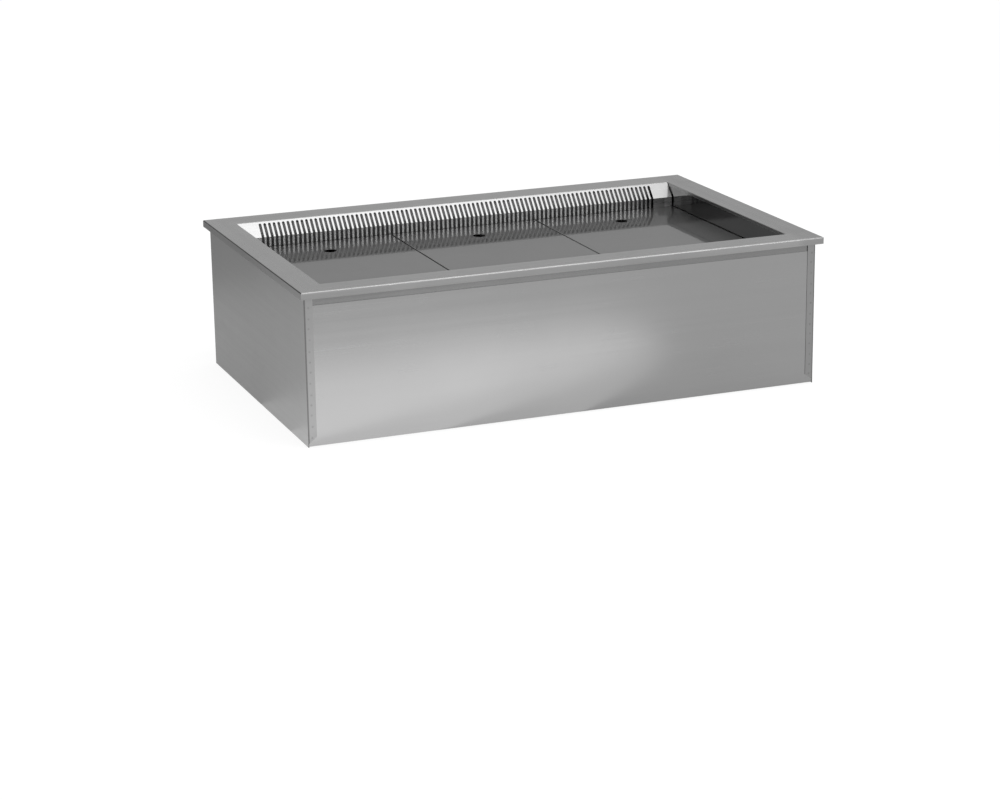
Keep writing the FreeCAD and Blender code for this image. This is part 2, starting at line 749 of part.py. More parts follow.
def coil_cover():
    """The sheet over fans and evaporator that sends the air to the rear duct and carries the plates."""
    body = new_body("coil_cover")
    rear = "plate_rear + cover_sheet"
    outline = polygon(("fan_plate_front", "cover_under"), ("%s - cover_sheet" % rear, "cover_under"),
                      ("%s - cover_sheet" % rear, "plate_foot - cover_drop"),
                      (rear, "plate_foot - cover_drop"), (rear, "plate_foot"),
                      ("fan_plate_front", "plate_foot"))
    pad(body, "cover_profile", "YZ", [outline], "cover_end_gap - tank_side", "tank_side - cover_end_gap")
    notch = ["cover_under - overrun - cover_drop", "cover_under"]
    ends = [rectangle("tank_side - cover_ledge - overrun", "tank_side", notch[0], notch[1]),
            rectangle("-tank_side", "overrun + cover_ledge - tank_side", notch[0], notch[1])]
    pocket(body, "ledge_notches", "XZ", ends, "plate_rear - overrun", "plate_rear + overrun")
    keep("coil_cover", body)


def fans():
    for name, side in (("left", "-"), ("right", "")):
        fan_frame(name, side)
        fan_impeller(name, side)
        fan_guard(name, side)


def fan_frame(name, side):
    """Square frame with a round bore, and the motor with its shaft on four struts at the rear."""
    body = new_body("fan_frame_" + name)
    half = "fan_size / 2"
    pad(body, name + "_square", "XZ", [rectangle("-" + half, half, "-" + half, half)], "0", "fan_deep")
    pocket(body, name + "_bore", "XZ", [circle("0", "0", "fan_bore")], "0", "fan_deep")
    bar = "strut_width / 2"
    reach = "(fan_bore + %s / 2)" % bar
    level = rectangle("-" + reach, reach, "-" + bar, bar)
    upright = rectangle("-" + bar, bar, "-" + reach, reach)
    pad(body, name + "_level_strut", "XZ", [level], "fan_deep - strut_deep", "fan_deep")
    pad(body, name + "_upright_strut", "XZ", [upright], "fan_deep - strut_deep", "fan_deep")
    pad(body, name + "_motor", "XZ", [circle("0", "0", "motor_radius")], "fan_deep - motor_deep", "fan_deep")
    pad(body, name + "_shaft", "XZ", [circle("0", "0", "shaft_radius")],
        "fan_deep - motor_deep - shaft_long", "fan_deep - motor_deep")
    place(body, side + "fan_place", "fan_back", "fan_height")
    keep("fan_frame_" + name, body)


def fan_impeller(name, side):
    """Hub with tilted blades, turning on the motor's shaft."""
    body = new_body("fan_impeller_" + name)
    rear = "(fan_deep - motor_deep - hub_gap)"
    front = "%s - hub_deep" % rear
    pad(body, name + "_hub", "XZ", [circle("0", "0", "hub_radius")], front, rear)
    blade = body.newObject("PartDesign::Pad", name + "_blade")
    blade.Profile = blade_outline(body, name + "_blade_outline", rear)
    blade.setExpression("Length", bound("blade_sheet"))
    blade.Midplane = True
    doc.recompute()
    ring_of(body, name + "_blades", [blade], "Y", "blade_count")
    pocket(body, name + "_shaft_bore", "XZ", [circle("0", "0", "shaft_radius + shaft_play")],
           "fan_deep - motor_deep - shaft_long - hub_gap", rear)
    place(body, side + "fan_place", "fan_back", "fan_height")
    keep("fan_impeller_" + name, body)


def blade_outline(body, name, rear):
    """A blade's outline, wider at the tip, on a plane tilted about the blade's own length."""
    outline = polygon(("hub_radius / 2", "-blade_root / 2"), ("blade_reach", "-blade_tip / 2"),
                      ("blade_reach", "blade_tip / 2"), ("hub_radius / 2", "blade_root / 2"))
    sketch = new_sketch(body, name, "XY", "0", [outline])
    sketch.AttachmentOffset = FreeCAD.Placement(FreeCAD.Vector(0, 0, 0),
                                                FreeCAD.Rotation(FreeCAD.Vector(1, 0, 0), 0))
    sketch.setExpression("AttachmentOffset.Base.y", bound("%s - hub_deep / 2" % rear))
    sketch.setExpression("AttachmentOffset.Rotation.Angle", bound("90 - blade_tilt"))
    return sketch


def fan_guard(name, side):
    """A welded guard of two rails and upright bars in front of a fan opening."""
    body = new_body("fan_guard_" + name)
    reach = "(fan_opening + guard_bar)"
    rails = [rectangle("-" + reach, reach, "-" + reach, "guard_bar - " + reach),
             rectangle("-" + reach, reach, reach + " - guard_bar", reach)]
    upright = rectangle("-" + reach, "guard_bar - " + reach, "-" + reach, reach)
    pad(body, name + "_rails", "XZ", rails, "-guard_bar", "0")
    bar = pad(body, name + "_upright", "XZ", [upright], "-2 * guard_bar", "-guard_bar")
    row_of(body, name + "_uprights", [bar], "X", "2 * fan_opening + guard_bar", "guard_count")
    place(body, side + "fan_place", "fan_plate_front", "fan_height")
    keep("fan_guard_" + name, body)


# Evaporator and pipes

def evaporator_fins():
    """Thin upright fins, pressed on the tubes."""
    body = new_body("evaporator_fins")
    fin = pad(body, "fin", "YZ", [rectangle("coil_front", "coil_back", "coil_bottom", "coil_top")],
              "-(fin_span + fin_sheet) / 2", "(fin_sheet - fin_span) / 2")
    row_of(body, "fins", [fin], "X", "fin_span", "fin_count")
    keep("evaporator_fins", body)


def evaporator_tubes():
    """The four straight tubes that the fins are pressed on."""
    body = new_body("evaporator_tubes")
    tubes = [circle(back, up, "tube_radius")
             for back in ("tube_front", "tube_back") for up in ("tube_low", "tube_high")]
    pad(body, "tubes", "YZ", tubes, "-coil_half_length", "coil_half_length")
    keep("evaporator_tubes", body)


def evaporator_ends():
    """Closed end boxes over the tubes' bends, each with a foot flange on the tank's floor."""
    body = new_body("evaporator_end_right")
    inner, outer = "coil_half_length", "coil_end"
    pad(body, "end_box", "YZ", [rectangle("coil_front", "coil_back", "tank_inside", "coil_top")],
        inner, outer)
    pad(body, "end_foot", "XY", [rectangle(inner + " - end_foot", inner, "coil_front", "coil_back")],
        "tank_inside", "tank_inside + end_foot_sheet")
    mirrored = doc.addObject("Part::Mirroring", "evaporator_end_left")
    mirrored.Source = body
    mirrored.Normal = FreeCAD.Vector(1, 0, 0)
    keep("evaporator_end_right", body)
    keep("evaporator_end_left", mirrored)


def expansion_valve():
    body = new_body("expansion_valve")
    wide, deep, tall = "valve_wide / 2", "valve_deep / 2", "valve_tall / 2"
    pad(body, "valve_block", "XY", [rectangle("-" + wide, wide, "-" + deep, deep)], "-" + tall, tall)
    pad(body, "valve_head", "XY", [circle("0", "0", "valve_wide / 3")], tall, tall + " + valve_wide / 3")
    pad(body, "valve_tube", "YZ", [circle("0", "0", "tube_radius")], "coil_end - pipe_place", "-" + wide)
    place(body, "pipe_place", "tube_front", "tube_low")
    keep("expansion_valve", body)


def pipe_socket(name, radius, start):
    """A straight pipe to the rear that ends in a socket for the site's pipe."""
    body = new_body(name)
    bore = "%s + socket_play" % radius
    pad(body, name + "_run", "XZ", [circle("0", "0", radius)], start, "pipe_end - socket_deep")
    pad(body, name + "_bell", "XZ", [circle("0", "0", bore + " + socket_wall")],
        "pipe_end - socket_deep - socket_wall", "pipe_end")
    pocket(body, name + "_socket", "XZ", [circle("0", "0", bore)], "pipe_end - socket_deep", "pipe_end")
    return body


def pipes():
    liquid = pipe_socket("liquid_line", "liquid_radius", "tube_front + valve_deep / 2")
    place(liquid, "pipe_place", "0", "tube_low")
    keep("liquid_line", liquid)
    suction = pipe_socket("suction_line", "suction_radius", "coil_back")
    place(suction, "suction_place", "0", "tube_high")
    keep("suction_line", suction)


def pipe_plug():
    """The rubber block that closes the rear walls round the two pipes."""
    body = new_body("pipe_plug")
    pad(body, "plug_block", "XZ", [pipe_window("-pipe_seat")], "tank_rear", "wrap_front")
    pad(body, "plug_lip", "XZ", [pipe_window("plug_lip")], "tank_rear - plug_lip_sheet", "tank_rear")
    pocket(body, "liquid_way", "XZ", [circle("pipe_place", "tube_low", "liquid_radius + pipe_seat")],
           "tank_rear - overrun", "wrap_front")
    pocket(body, "suction_way", "XZ", [circle("suction_place", "tube_high", "suction_radius + pipe_seat")],
           "tank_rear - overrun", "wrap_front")
    keep("pipe_plug", body)


# Junction box, cable way and probe

def junction_box():
    """Open box on the tank's rear wall, and its lid."""
    body = new_body("junction_box")
    half = "box_wide / 2"
    low, high = "tank_inside + box_rise", "tank_inside + box_rise + box_tall"
    lid = "tank_rear - box_deep"
    pad(body, "box_block", "XZ", [rectangle("-" + half, half, low, high)], lid, "tank_rear")
    pocket(body, "box_hollow", "XZ", [rectangle("box_wall - " + half, half + " - box_wall",
                                                low + " + box_wall", high + " - box_wall")],
           lid, "tank_rear - box_wall")
    pocket(body, "box_cable_hole", "XZ", [circle("0", "box_height", "cable_radius")],
           "tank_rear - box_wall", "tank_rear")
    place(body, across="-box_place")
    keep("junction_box", body)
    cover = new_body("junction_box_lid")
    pad(cover, "lid_plate", "XZ", [rectangle("-" + half, half, low, high)], lid + " - box_lid", lid)
    place(cover, across="-box_place")
    keep("junction_box_lid", cover)


def square(half):
    return rectangle("-(%s)" % half, half, "-(%s)" % half, half)


def cable_way():
    """Square conduit through the foam and the grommet that closes it at the rear."""
    conduit = new_body("cable_conduit")
    pad(conduit, "conduit_tube", "XZ", [square("conduit_half"), square("conduit_half - conduit_wall")],
        "tank_rear_out", "collar_front")
    place(conduit, "-box_place", "0", "box_height")
    keep("cable_conduit", conduit)
    grommet = new_body("cable_grommet")
    pad(grommet, "grommet_body", "XZ", [square("conduit_half")], "collar_front", "wrap_front")
    pad(grommet, "grommet_lip", "XZ", [square("conduit_half + grommet_lip")],
        "wrap_front", "wrap_front + grommet_lip_sheet")
    pocket(grommet, "cable_bore", "XZ", [circle("0", "0", "cable_radius")],
           "collar_front", "wrap_front + grommet_lip_sheet")
    place(grommet, "-box_place", "0", "box_height")
    keep("cable_grommet", grommet)


def temperature_probe():
    """Probe capsule and its clip on the fan plate."""
    probe = new_body("temperature_probe")
    pad(probe, "capsule", "YZ", [circle("0", "0", "probe_radius")], "-probe_long / 2", "probe_long / 2")
    back = "fan_plate_front - clip_sheet - probe_radius"
    up = "cover_under - probe_drop"
    place(probe, "probe_place", back, up)
    keep("temperature_probe", probe)
    clip = new_body("probe_clip")
    outer = "probe_radius + clip_sheet"
    half = "clip_wide / 2"
    pad(clip, "clip_strap", "YZ", [rectangle("-(%s)" % outer, outer, "-(%s)" % outer, outer)],
        "-" + half, half)
    pad(clip, "clip_ear", "YZ", [rectangle("probe_radius", outer, outer, outer + " + clip_ear")],
        "-" + half, half)
    pocket(clip, "clip_bore", "YZ", [circle("0", "0", "probe_radius")], "-" + half, half)
    place(clip, "probe_place", back, up)
    keep("probe_clip", clip)


def check():
    """Stops if any object failed or any sub-part isn't a sound solid."""
    doc.recompute()
    for item in doc.Objects:
        if "Invalid" in item.State or "Error" in item.State:
            raise RuntimeError("%s: %s" % (item.Name, item.State))
    for node, part in written.items():
        if part.Shape.isNull() or not part.Shape.isValid() or not part.Shape.Solids:
            raise RuntimeError(node + " is not a sound solid")


def write():
    os.makedirs("parts", exist_ok=True)
    for node, part in written.items():
        part.Shape.exportStep("parts/%s.step" % node)
        box = part.Shape.BoundBox
        print("%-28s %2d  X %7.1f %7.1f  Y %7.1f %7.1f  Z %6.1f %6.1f" % (
            node, len(part.Shape.Solids), box.XMin, box.XMax, box.YMin, box.YMax, box.ZMin, box.ZMax))


fill_sheet()
for make in (rim_frame, rim_seal, collar_frame, casing_wrap, side_panel, insulation, tank_liner,
             drain_outlet, drain_strainer, air_grille, return_grille, base_plates, plate_bearers,
             cover_ledges, fan_plate, coil_cover, fans, evaporator_fins, evaporator_tubes,
             evaporator_ends, expansion_valve, pipes, pipe_plug,
             junction_box, cable_way, temperature_probe):
    make()
check()
write()
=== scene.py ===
"""Looks of the drop-in food well: finishes, small fasteners and the studio.

The construction gives the sheet metal, fans, coil and drain. This file
dresses them: brushed and polished stainless steel, spot welds, screws, the
full fin pack and brazed joints, and the pale studio that they stand in.
"""

import math
from itertools import product

import bpy
from bpy.props import FloatProperty, FloatVectorProperty, IntProperty, PointerProperty
from bpy.types import Operator, Panel, PropertyGroup
from mathutils import Matrix, Vector


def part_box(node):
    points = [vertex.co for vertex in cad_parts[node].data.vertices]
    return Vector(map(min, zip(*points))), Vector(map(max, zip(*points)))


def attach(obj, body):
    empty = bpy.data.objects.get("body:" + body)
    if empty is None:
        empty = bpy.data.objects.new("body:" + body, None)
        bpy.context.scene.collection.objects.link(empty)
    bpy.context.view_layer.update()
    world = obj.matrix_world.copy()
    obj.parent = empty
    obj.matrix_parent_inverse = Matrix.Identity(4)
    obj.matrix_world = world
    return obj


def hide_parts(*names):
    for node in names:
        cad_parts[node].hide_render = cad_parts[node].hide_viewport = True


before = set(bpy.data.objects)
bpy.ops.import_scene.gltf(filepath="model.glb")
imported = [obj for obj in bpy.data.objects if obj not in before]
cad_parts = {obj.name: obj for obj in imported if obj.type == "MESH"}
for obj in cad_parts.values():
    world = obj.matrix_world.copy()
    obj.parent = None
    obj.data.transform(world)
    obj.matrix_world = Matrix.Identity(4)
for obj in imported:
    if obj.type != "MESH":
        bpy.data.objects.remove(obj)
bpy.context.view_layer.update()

bl_info = {
    "name": "Drop-in food well looks",
    "version": (1, 0, 0),
    "blender": (4, 5, 0),
    "location": "3D View > Sidebar > Food Well",
    "description": "Finishes, fasteners and studio of a drop-in food well",
    "category": "Object",
}

RIM_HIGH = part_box("rim_frame")[1]
STRIP_LOW, STRIP_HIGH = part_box("side_panel_left")
STRIP_BOX = Vector((-STRIP_LOW.x, STRIP_HIGH.y, STRIP_HIGH.z))
TANK_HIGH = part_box("tank_liner")[1]
FINS_LOW, FINS_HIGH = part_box("evaporator_fins")

TO_FRONT, TO_REAR, TO_RIGHT, UPWARD = (0, -1, 0), (0, 1, 0), (1, 0, 0), (0, 0, 1)
UPRIGHT = math.radians(90)

# Lines per metre along X, Y and Z that each way of brushing or drawing leaves.
LEVEL_RUN = (3.0, 3.0, 700.0)
LONG_RUN = (3.0, 700.0, 700.0)
CROSS_RUN = (700.0, 3.0, 700.0)
POLISH_RUN = (4.0, 1600.0, 1600.0)
DRAWN_RUN = (8.0, 900.0, 900.0)
LINE_SHARE, BAND_SHARE = 0.4, 0.6  # what fine lines and wide bands add to a sheet's shade
NOISE_SPAN = (0.3, 0.7)  # the noise values that a mask runs between

# Zones of the sheets where light and shade are painted: where each begins and where it is full, in
# metres.
LIP_FACE = (0.0015, 0.0005)  # in from the rim's front edge
LIP_BAND = (0.0015, 0.0040)  # down from the rim's top
LIP_LEFT = (0.42, 0.18)  # X, left of the lip's bright end
LIP_END = 0.002  # in from the rim's two ends
MEMBER_RIGHT = (0.49, 0.51)  # X
FLANGE_FACE = (0.0025, 0.0015)  # in from the front and rear of the side panels
TANK_REAR = (0.034, 0.030)  # in from the tank's rear
TANK_BELOW = (0.2430, 0.2400)  # Z, below the plates
TANK_GAP = (0.2592, 0.2580)  # Z, beside the plates
WALL_HIGH = (0.268, 0.286)  # Z, behind the grille's slope
UPRIGHT_TOP = (0.0187, 0.0177)  # up from the plates' top
UPRIGHT_END = (0.4755, 0.4765)  # X, right of the slots

# Places of the small pieces, in metres.
WALL_SCREWS = ((-0.336, 0.2890), (0.0, 0.2890), (0.336, 0.2890), (-0.169, 0.2620))  # X and Z
TANK_SHEET = 0.001
COVER_SCREW_SIDE, COVER_SCREW_INSET = 0.32, 0.018
FAN_PLATE_FOOT = 0.014  # the foot reaches this far in front of the fan plate's sheet
FAN_SCREW_INSET = 0.0075
LID_SCREW_INSET = 0.006
WELD_PROFILE = ((1.0, 0.0), (0.86, 0.00012), (0.62, 0.00010), (0.30, 0.00003),
                (0.08, 0.00001))  # share of the half width, height
WELD_SWAY, SWAY_STEP = 0.0007, 2.4  # hand-set welds: sideways wander and its run
WELD_LIFT, LIFT_STEP = 0.0012, 1.7  # the same up and down
WELD_TONE = 0.78
BEAD_PROFILE = ((1.0, 0.0), (0.6, 0.35), (0.25, 0.7), (0.0, 1.0))  # shares: out, up

# The studio's cards and lamps: face, place and turn.
GREY_CARD = ((1.2, 0.29), (-1.20, 0.95, 0.145), (UPRIGHT, 0, 0))
DARK_CARD = ((1.3, 1.15), (-1.50, 1.60, 0.90), (UPRIGHT, 0, 0))
TOP_BOX = ((2.25, 1.0), (0.335, -0.5, 2.3), (0, 0, 0))
FRONT_BOX = ((2.6, 1.0), (1.68, -3.20, 1.43), (math.radians(73), 0, math.radians(21.5)))
LOW_FACE, LOW_PLACE, LOW_TURN = (4.38, 0.772), (-1.70, -0.21), (math.radians(180), 0, -0.288)
LOW_SHARES = (0.562, 1.0, 1.548)  # three nested ellipses, so that the edge is soft
LOW_DROP, FLOOR_DROP = 0.0001, 0.0005  # below the well: first lamp, and floor
SENSOR_WIDTH = 36.0


# ---------------------------------------------------------------- settings

def colour(name, description, value):
    """A colour setting, written as the linear colour that the surface has."""
    return FloatVectorProperty(name=name, description=description, default=value,
                               subtype="COLOR", size=3, min=0, max=1)


def share(name, description, value):
    """A setting between 0 and 1."""
    return FloatProperty(name=name, description=description, default=value,
                         min=0, max=1, subtype="FACTOR")


def gain(name, description, value):
    """A tone that may go above 1."""
    return FloatProperty(name=name, description=description, default=value, min=0)


def size(name, description, value):
    """A length in metres."""
    return FloatProperty(name=name, description=description, default=value,
                         min=0, precision=4, unit="LENGTH")


class WellSteel(PropertyGroup):
    """Colours and roughness of the sheet steel, and the tones that paint light and shade on it."""
    rim: colour("Rim", "Brushed steel of the worktop rim", (0.286, 0.286, 0.286))
    rim_rough: share("Rim roughness", "How far the rim's brushing spreads light", 0.28)
    # painted shade: darker upright lip on the rim's two short sides
    end_lip_shade: share("End lips", "Tone of the lip on the two short sides", 0.72)
    # painted shade: a dark line along the rim's fold on the two short sides
    end_fold_shade: share("End folds", "Tone of the rim's fold on the two short sides", 0.38)
    # painted shade: the front lip darker left of where the light falls brightest
    front_lip_shade: share("Front lip", "Tone of the lip in front, left of its bright end", 0.86)
    # painted shade: the rim's right end member made darker
    right_member_shade: share("Right member", "Tone of the rim's right end member", 0.89)
    # painted highlight: a light line along the rim's fold on the long sides
    long_fold_highlight: gain("Long folds", "Tone of the fold on the long sides", 1.28)
    panel: colour("Casing", "Dull rolled steel of the casing panels", (0.272, 0.272, 0.272))
    panel_rough: share("Casing roughness", "How far the casing spreads light", 0.22)
    side: colour("Side panels", "Rolled steel of the two side panels", (0.270, 0.270, 0.270))
    side_rough: share("Side roughness", "How far the side panels spread light", 0.36)
    # painted shade: the side panels' front and rear flanges made darker than their side faces
    strip_shade: share("Corner strips", "Tone of the side panels' return flanges", 0.86)
    # painted shade: a dark line along the casing's folded corners
    corner_fold_shade: share("Corner fold", "Tone of the casing's folded corners", 0.50)
    # painted shadow: the collar's darker colour stands in for the shadow of the rim's lip
    collar: colour("Collar", "Steel of the recessed band under the rim", (0.192, 0.192, 0.192))
    tank: colour("Tank", "Polished steel of the tank walls", (0.230, 0.230, 0.230))
    # painted light and shade on the tank: lighter below and beside the plates and behind the slope
    # (also rougher there), darker behind the grille's upright
    tank_below_light: gain("Tank, below the plates", "Tone of the tank's duller lower part", 2.5)
    tank_gap_light: gain("Tank, beside the plates", "Tone of the walls in the gap round the plates", 1.5)
    wall_foot_shade: share("Rear wall, low", "Tone of the wall behind the grille's upright", 0.50)
    wall_top_light: gain("Rear wall, high", "Tone of the wall behind the slope", 3.2)
    tank_rough: share("Tank roughness", "How far the tank walls spread light", 0.09)
    plate: colour("Base plates", "Polished steel of the three base plates", (0.178, 0.178, 0.178))
    plate_rough: share("Plate roughness", "How far the steel under the polish spreads light", 0.34)
    plate_polish: share("Plate polish", "Weight of the clear mirror of the polish", 0.50)
    polish_rough: share("Polish roughness", "How far the polish spreads light", 0.045)
    grille: colour("Air grille", "Bright steel of the slotted rear grille", (0.370, 0.370, 0.370))
    grille_rough: share("Grille roughness", "How far the grille spreads light", 0.27)
    # painted light: the grille's upright part and its right end made lighter
    grille_foot_light: gain("Grille foot", "Tone of the grille's upright part", 1.4)
    grille_end_light: gain("Grille end", "Tone of the upright's right end", 1.6)
    cover: colour("Covers", "Zinc-coated sheet of the coil cover and fan plate",
                  (0.580, 0.580, 0.580))
    bracket: colour("Brackets", "Plain steel of brackets, covers and screws", (0.520, 0.520, 0.520))


class WellOther(PropertyGroup):
    """Colours of the plastics, the foam and the other metals."""
    seal: colour("Sealing strip", "Black sponge rubber under the rim", (0.022, 0.022, 0.023))
    foam: colour("Insulation", "Foamed insulation between tank and casing", (0.62, 0.52, 0.30))
    fan: colour("Fan frame", "Black moulded fan frames", (0.020, 0.020, 0.022))
    impeller: colour("Impeller", "Dark grey moulded impellers", (0.045, 0.047, 0.050))
    fin: colour("Coil fins", "Aluminium foil of the coil fins", (0.72, 0.73, 0.74))
    copper: colour("Pipes", "Drawn copper of the coil and the lines", (0.62, 0.30, 0.17))
    brass: colour("Valve", "Brass of the expansion valve", (0.62, 0.44, 0.18))
    box: colour("Junction box", "Light grey moulded junction box", (0.50, 0.51, 0.50))
    conduit: colour("Conduit", "Dark grey cable conduit", (0.085, 0.087, 0.090))
    probe: colour("Probe", "Bright steel of the temperature probe", (0.52, 0.52, 0.52))


class WellDetail(PropertyGroup):
    """Sizes of the small pieces that this file adds."""
    weld_width: size("Spot weld", "Width of one spot weld on the corner strips", 0.0042)
    weld_pitch: size("Weld pitch", "Distance from one spot weld to the next", 0.0212)
    weld_first: size("First weld", "Height of the lowest spot weld", 0.0199)
    weld_count: IntProperty(name="Welds", description="Spot welds on each corner strip",
                            default=13, min=1)
    weld_inset: size("Weld inset", "Distance of the welds from the corner edge", 0.0082)
    screw_width: size("Screw head", "Width of the pan head screws", 0.0072)
    box_screw_width: size("Lid screw", "Width of the junction box screws", 0.0058)
    wall_screw_width: size("Wall screw", "Width of the screws behind the grille", 0.0050)
    braze_width: size("Braze", "Width of the fillet round a brazed joint", 0.0022)
    liquid_pipe: size("Liquid pipe", "Radius of the liquid line", 0.0050)
    suction_pipe: size("Suction pipe", "Radius of the suction line", 0.0080)
    coil_pipe: size("Coil pipe", "Radius of the coil's tubes", 0.00475)
    fin_pitch: size("Fin pitch", "Distance from one coil fin to the next", 0.0042)
    fin_sheet: size("Fin sheet", "Thickness of one coil fin", 0.0003)
    fin_wave: size("Fin wave", "Depth of the fins' corrugation", 0.0008)


class WellStudio(PropertyGroup):
    """Camera and light of the studio."""
    lens: FloatProperty(name="Lens", description="Focal length on a 36 mm wide sensor",
                        default=92.92, min=1, unit="CAMERA")
    azimuth: FloatProperty(name="Azimuth", description="Turn of the camera round the well",
                           default=math.radians(-21.503), subtype="ANGLE")
    elevation: FloatProperty(name="Elevation", description="Height angle of the camera",
                             default=math.radians(16.724), subtype="ANGLE")
    roll: FloatProperty(name="Roll", description="Tilt of the camera about its own axis",
                        default=math.radians(-0.756), subtype="ANGLE")
    eye: FloatVectorProperty(name="Eye", description="Place of the camera", size=3,
                             default=(-1.91496, -4.80911, 1.49559), subtype="TRANSLATION")
    floor_side: size("Floor", "Side of the square floor", 60.0)
    floor_glow: share("Floor glow", "Light that the white floor gives by itself", 0.84)
    floor_white: share("Floor paint", "Part of the light that the floor gives back", 0.22)
    fill: share("Fill", "Strength of the plain light from all round", 0.78)
    top_box: FloatProperty(name="Top softbox", description="Power of the softbox overhead",
                           default=14.8, min=0, unit="POWER")
    front_box: FloatProperty(name="Front softbox", description="Power of the softbox in front",
                             default=24.7, min=0, unit="POWER")
    low_box: FloatProperty(name="Low softboxes", description="Power of the floor's middle lamp",
                           default=3.05, min=0, unit="POWER")
    card: share("Grey card", "Brightness of the card behind the left side", 0.62)
    flag: share("Dark card", "Brightness of the dark card on the left", 0.10)


# ------------------------------------------------------------ node groups

# Places of the Mix node's sockets: values in, colours in, colour out.
MIX_VALUES, MIX_COLOURS, MIX_SHOWN = (2, 3), (6, 7), 2


def new_group(name, inputs, outputs):
    """An empty node group with its inputs and outputs: (tree, input node, output node)."""
    tree = bpy.data.node_groups.new(name, "ShaderNodeTree")
    for label, value in inputs.items():
        kind = "NodeSocketVector" if isinstance(value, tuple) else "NodeSocketFloat"
        made = tree.interface.new_socket(name=label, in_out="INPUT", socket_type=kind)
        made.default_value = value
    for label in outputs:
        tree.interface.new_socket(name=label, in_out="OUTPUT", socket_type="NodeSocketFloat")
    return tree, tree.nodes.new("NodeGroupInput"), tree.nodes.new("NodeGroupOutput")


def join(tree, source, target):
    """Links an output to an input."""
    tree.links.new(source, target)


def feed(tree, value, target):
    """Links an output to an input, or sets the input to a fixed value."""
    if isinstance(value, bpy.types.NodeSocket):
        join(tree, value, target)
    else:
        target.default_value = value


def maths(tree, kind, first, second=None, third=None):
    """A Math node on numbers or outputs, and its output."""
    node = tree.nodes.new("ShaderNodeMath")
    node.operation = kind
    for place, value in enumerate((first, second, third)):
        if value is not None:
            feed(tree, value, node.inputs[place])
    return node.outputs[0]


def spread(tree, value, low, high, to_low=0.0, to_high=1.0):
    """Maps a value from one range to another, held inside it."""
    node = tree.nodes.new("ShaderNodeMapRange")
    node.interpolation_type = "SMOOTHSTEP"
    for label, number in (("Value", value), ("From Min", low), ("From Max", high),
                          ("To Min", to_low), ("To Max", to_high)):
        feed(tree, number, node.inputs[label])
    return node.outputs["Result"]


def noise(tree, vector, scale, detail, rough, twist=0.0):
    """A noise texture on a vector, and its factor."""
    node = tree.nodes.new("ShaderNodeTexNoise")
    for label, value in (("Vector", vector), ("Scale", scale), ("Detail", detail),
                         ("Roughness", rough), ("Distortion", twist)):
        feed(tree, value, node.inputs[label])
    return node.outputs["Fac"]


def part_place(tree):
    """The point on the part, in metres."""
    return tree.nodes.new("ShaderNodeTexCoord").outputs["Object"]


def part_axes(tree):
    """The point's X, Y and Z on the part, in metres."""
    split = tree.nodes.new("ShaderNodeSeparateXYZ")
    join(tree, part_place(tree), split.inputs[0])
    return split.outputs


def brushed_grain():
    """Lines left by brushing: fine across the run, long along it."""
    tree, given, out = new_group("Brushed Grain", {"Lines Per Metre": LEVEL_RUN},
                                 ["Lines", "Bands"])
    stretch = tree.nodes.new("ShaderNodeVectorMath")
    stretch.operation = "MULTIPLY"
    join(tree, part_place(tree), stretch.inputs[0])
    join(tree, given.outputs["Lines Per Metre"], stretch.inputs[1])
    lines = noise(tree, stretch.outputs[0], scale=1.0, detail=3.0, rough=0.6)
    join(tree, spread(tree, lines, *NOISE_SPAN), out.inputs["Lines"])
    bands = noise(tree, stretch.outputs[0], scale=0.12, detail=2.0, rough=0.5)
    join(tree, spread(tree, bands, *NOISE_SPAN), out.inputs["Bands"])
    return tree


def mitred_frame():
    """Tells the end members of a mitred frame, 1, from the long ones, 0."""
    tree, given, out = new_group("Mitred Frame", {"Half Length": 0.55, "Half Depth": 0.34},
                                 ["End Member"])
    axes = part_axes(tree)
    along = maths(tree, "SUBTRACT", maths(tree, "ABSOLUTE", axes["X"]),
                  given.outputs["Half Length"])
    across = maths(tree, "SUBTRACT", maths(tree, "ABSOLUTE", axes["Y"]),
                   given.outputs["Half Depth"])
    join(tree, maths(tree, "GREATER_THAN", along, across), out.inputs["End Member"])
    return tree


def painted_fold_lines():
    """Finds the folded edges of a box, where highlights and shade are painted: its top ends, its
    top long sides and its corners.
    """
    tree, given, out = new_group(
        "Painted Fold Lines",
        {"Half Length": 0.55, "Half Depth": 0.34, "Height": 0.308, "Reach": 0.003},
        ["End Fold Shade", "Long Fold Highlight", "Corner Fold Shade"])
    axes = part_axes(tree)
    from_end = maths(tree, "SUBTRACT", given.outputs["Half Length"],
                     maths(tree, "ABSOLUTE", axes["X"]))
    from_side = maths(tree, "SUBTRACT", given.outputs["Half Depth"],
                      maths(tree, "ABSOLUTE", axes["Y"]))
    from_top = maths(tree, "SUBTRACT", given.outputs["Height"], axes["Z"])
    half = maths(tree, "MULTIPLY", given.outputs["Reach"], 0.5)
    for label, first, second in (("End Fold Shade", from_end, from_top),
                                 ("Long Fold Highlight", from_side, from_top),
                                 ("Corner Fold Shade", from_end, from_side)):
        square = maths(tree, "MULTIPLY_ADD", first, first,
                       maths(tree, "MULTIPLY", second, second))
        near = spread(tree, maths(tree, "SQRT", square), half, given.outputs["Reach"],
                      to_low=1.0, to_high=0.0)
        join(tree, near, out.inputs[label])
    return tree


def soft_clouds():
    """Slow unevenness of a rolled, moulded or foamed surface."""
    tree, given, out = new_group("Soft Clouds", {"Clouds Per Metre": 6.0}, ["Cloud"])
    cloud = noise(tree, part_place(tree), given.outputs["Clouds Per Metre"], detail=3.0,
                  rough=0.5, twist=0.3)
    join(tree, spread(tree, cloud, *NOISE_SPAN), out.inputs["Cloud"])
    return tree


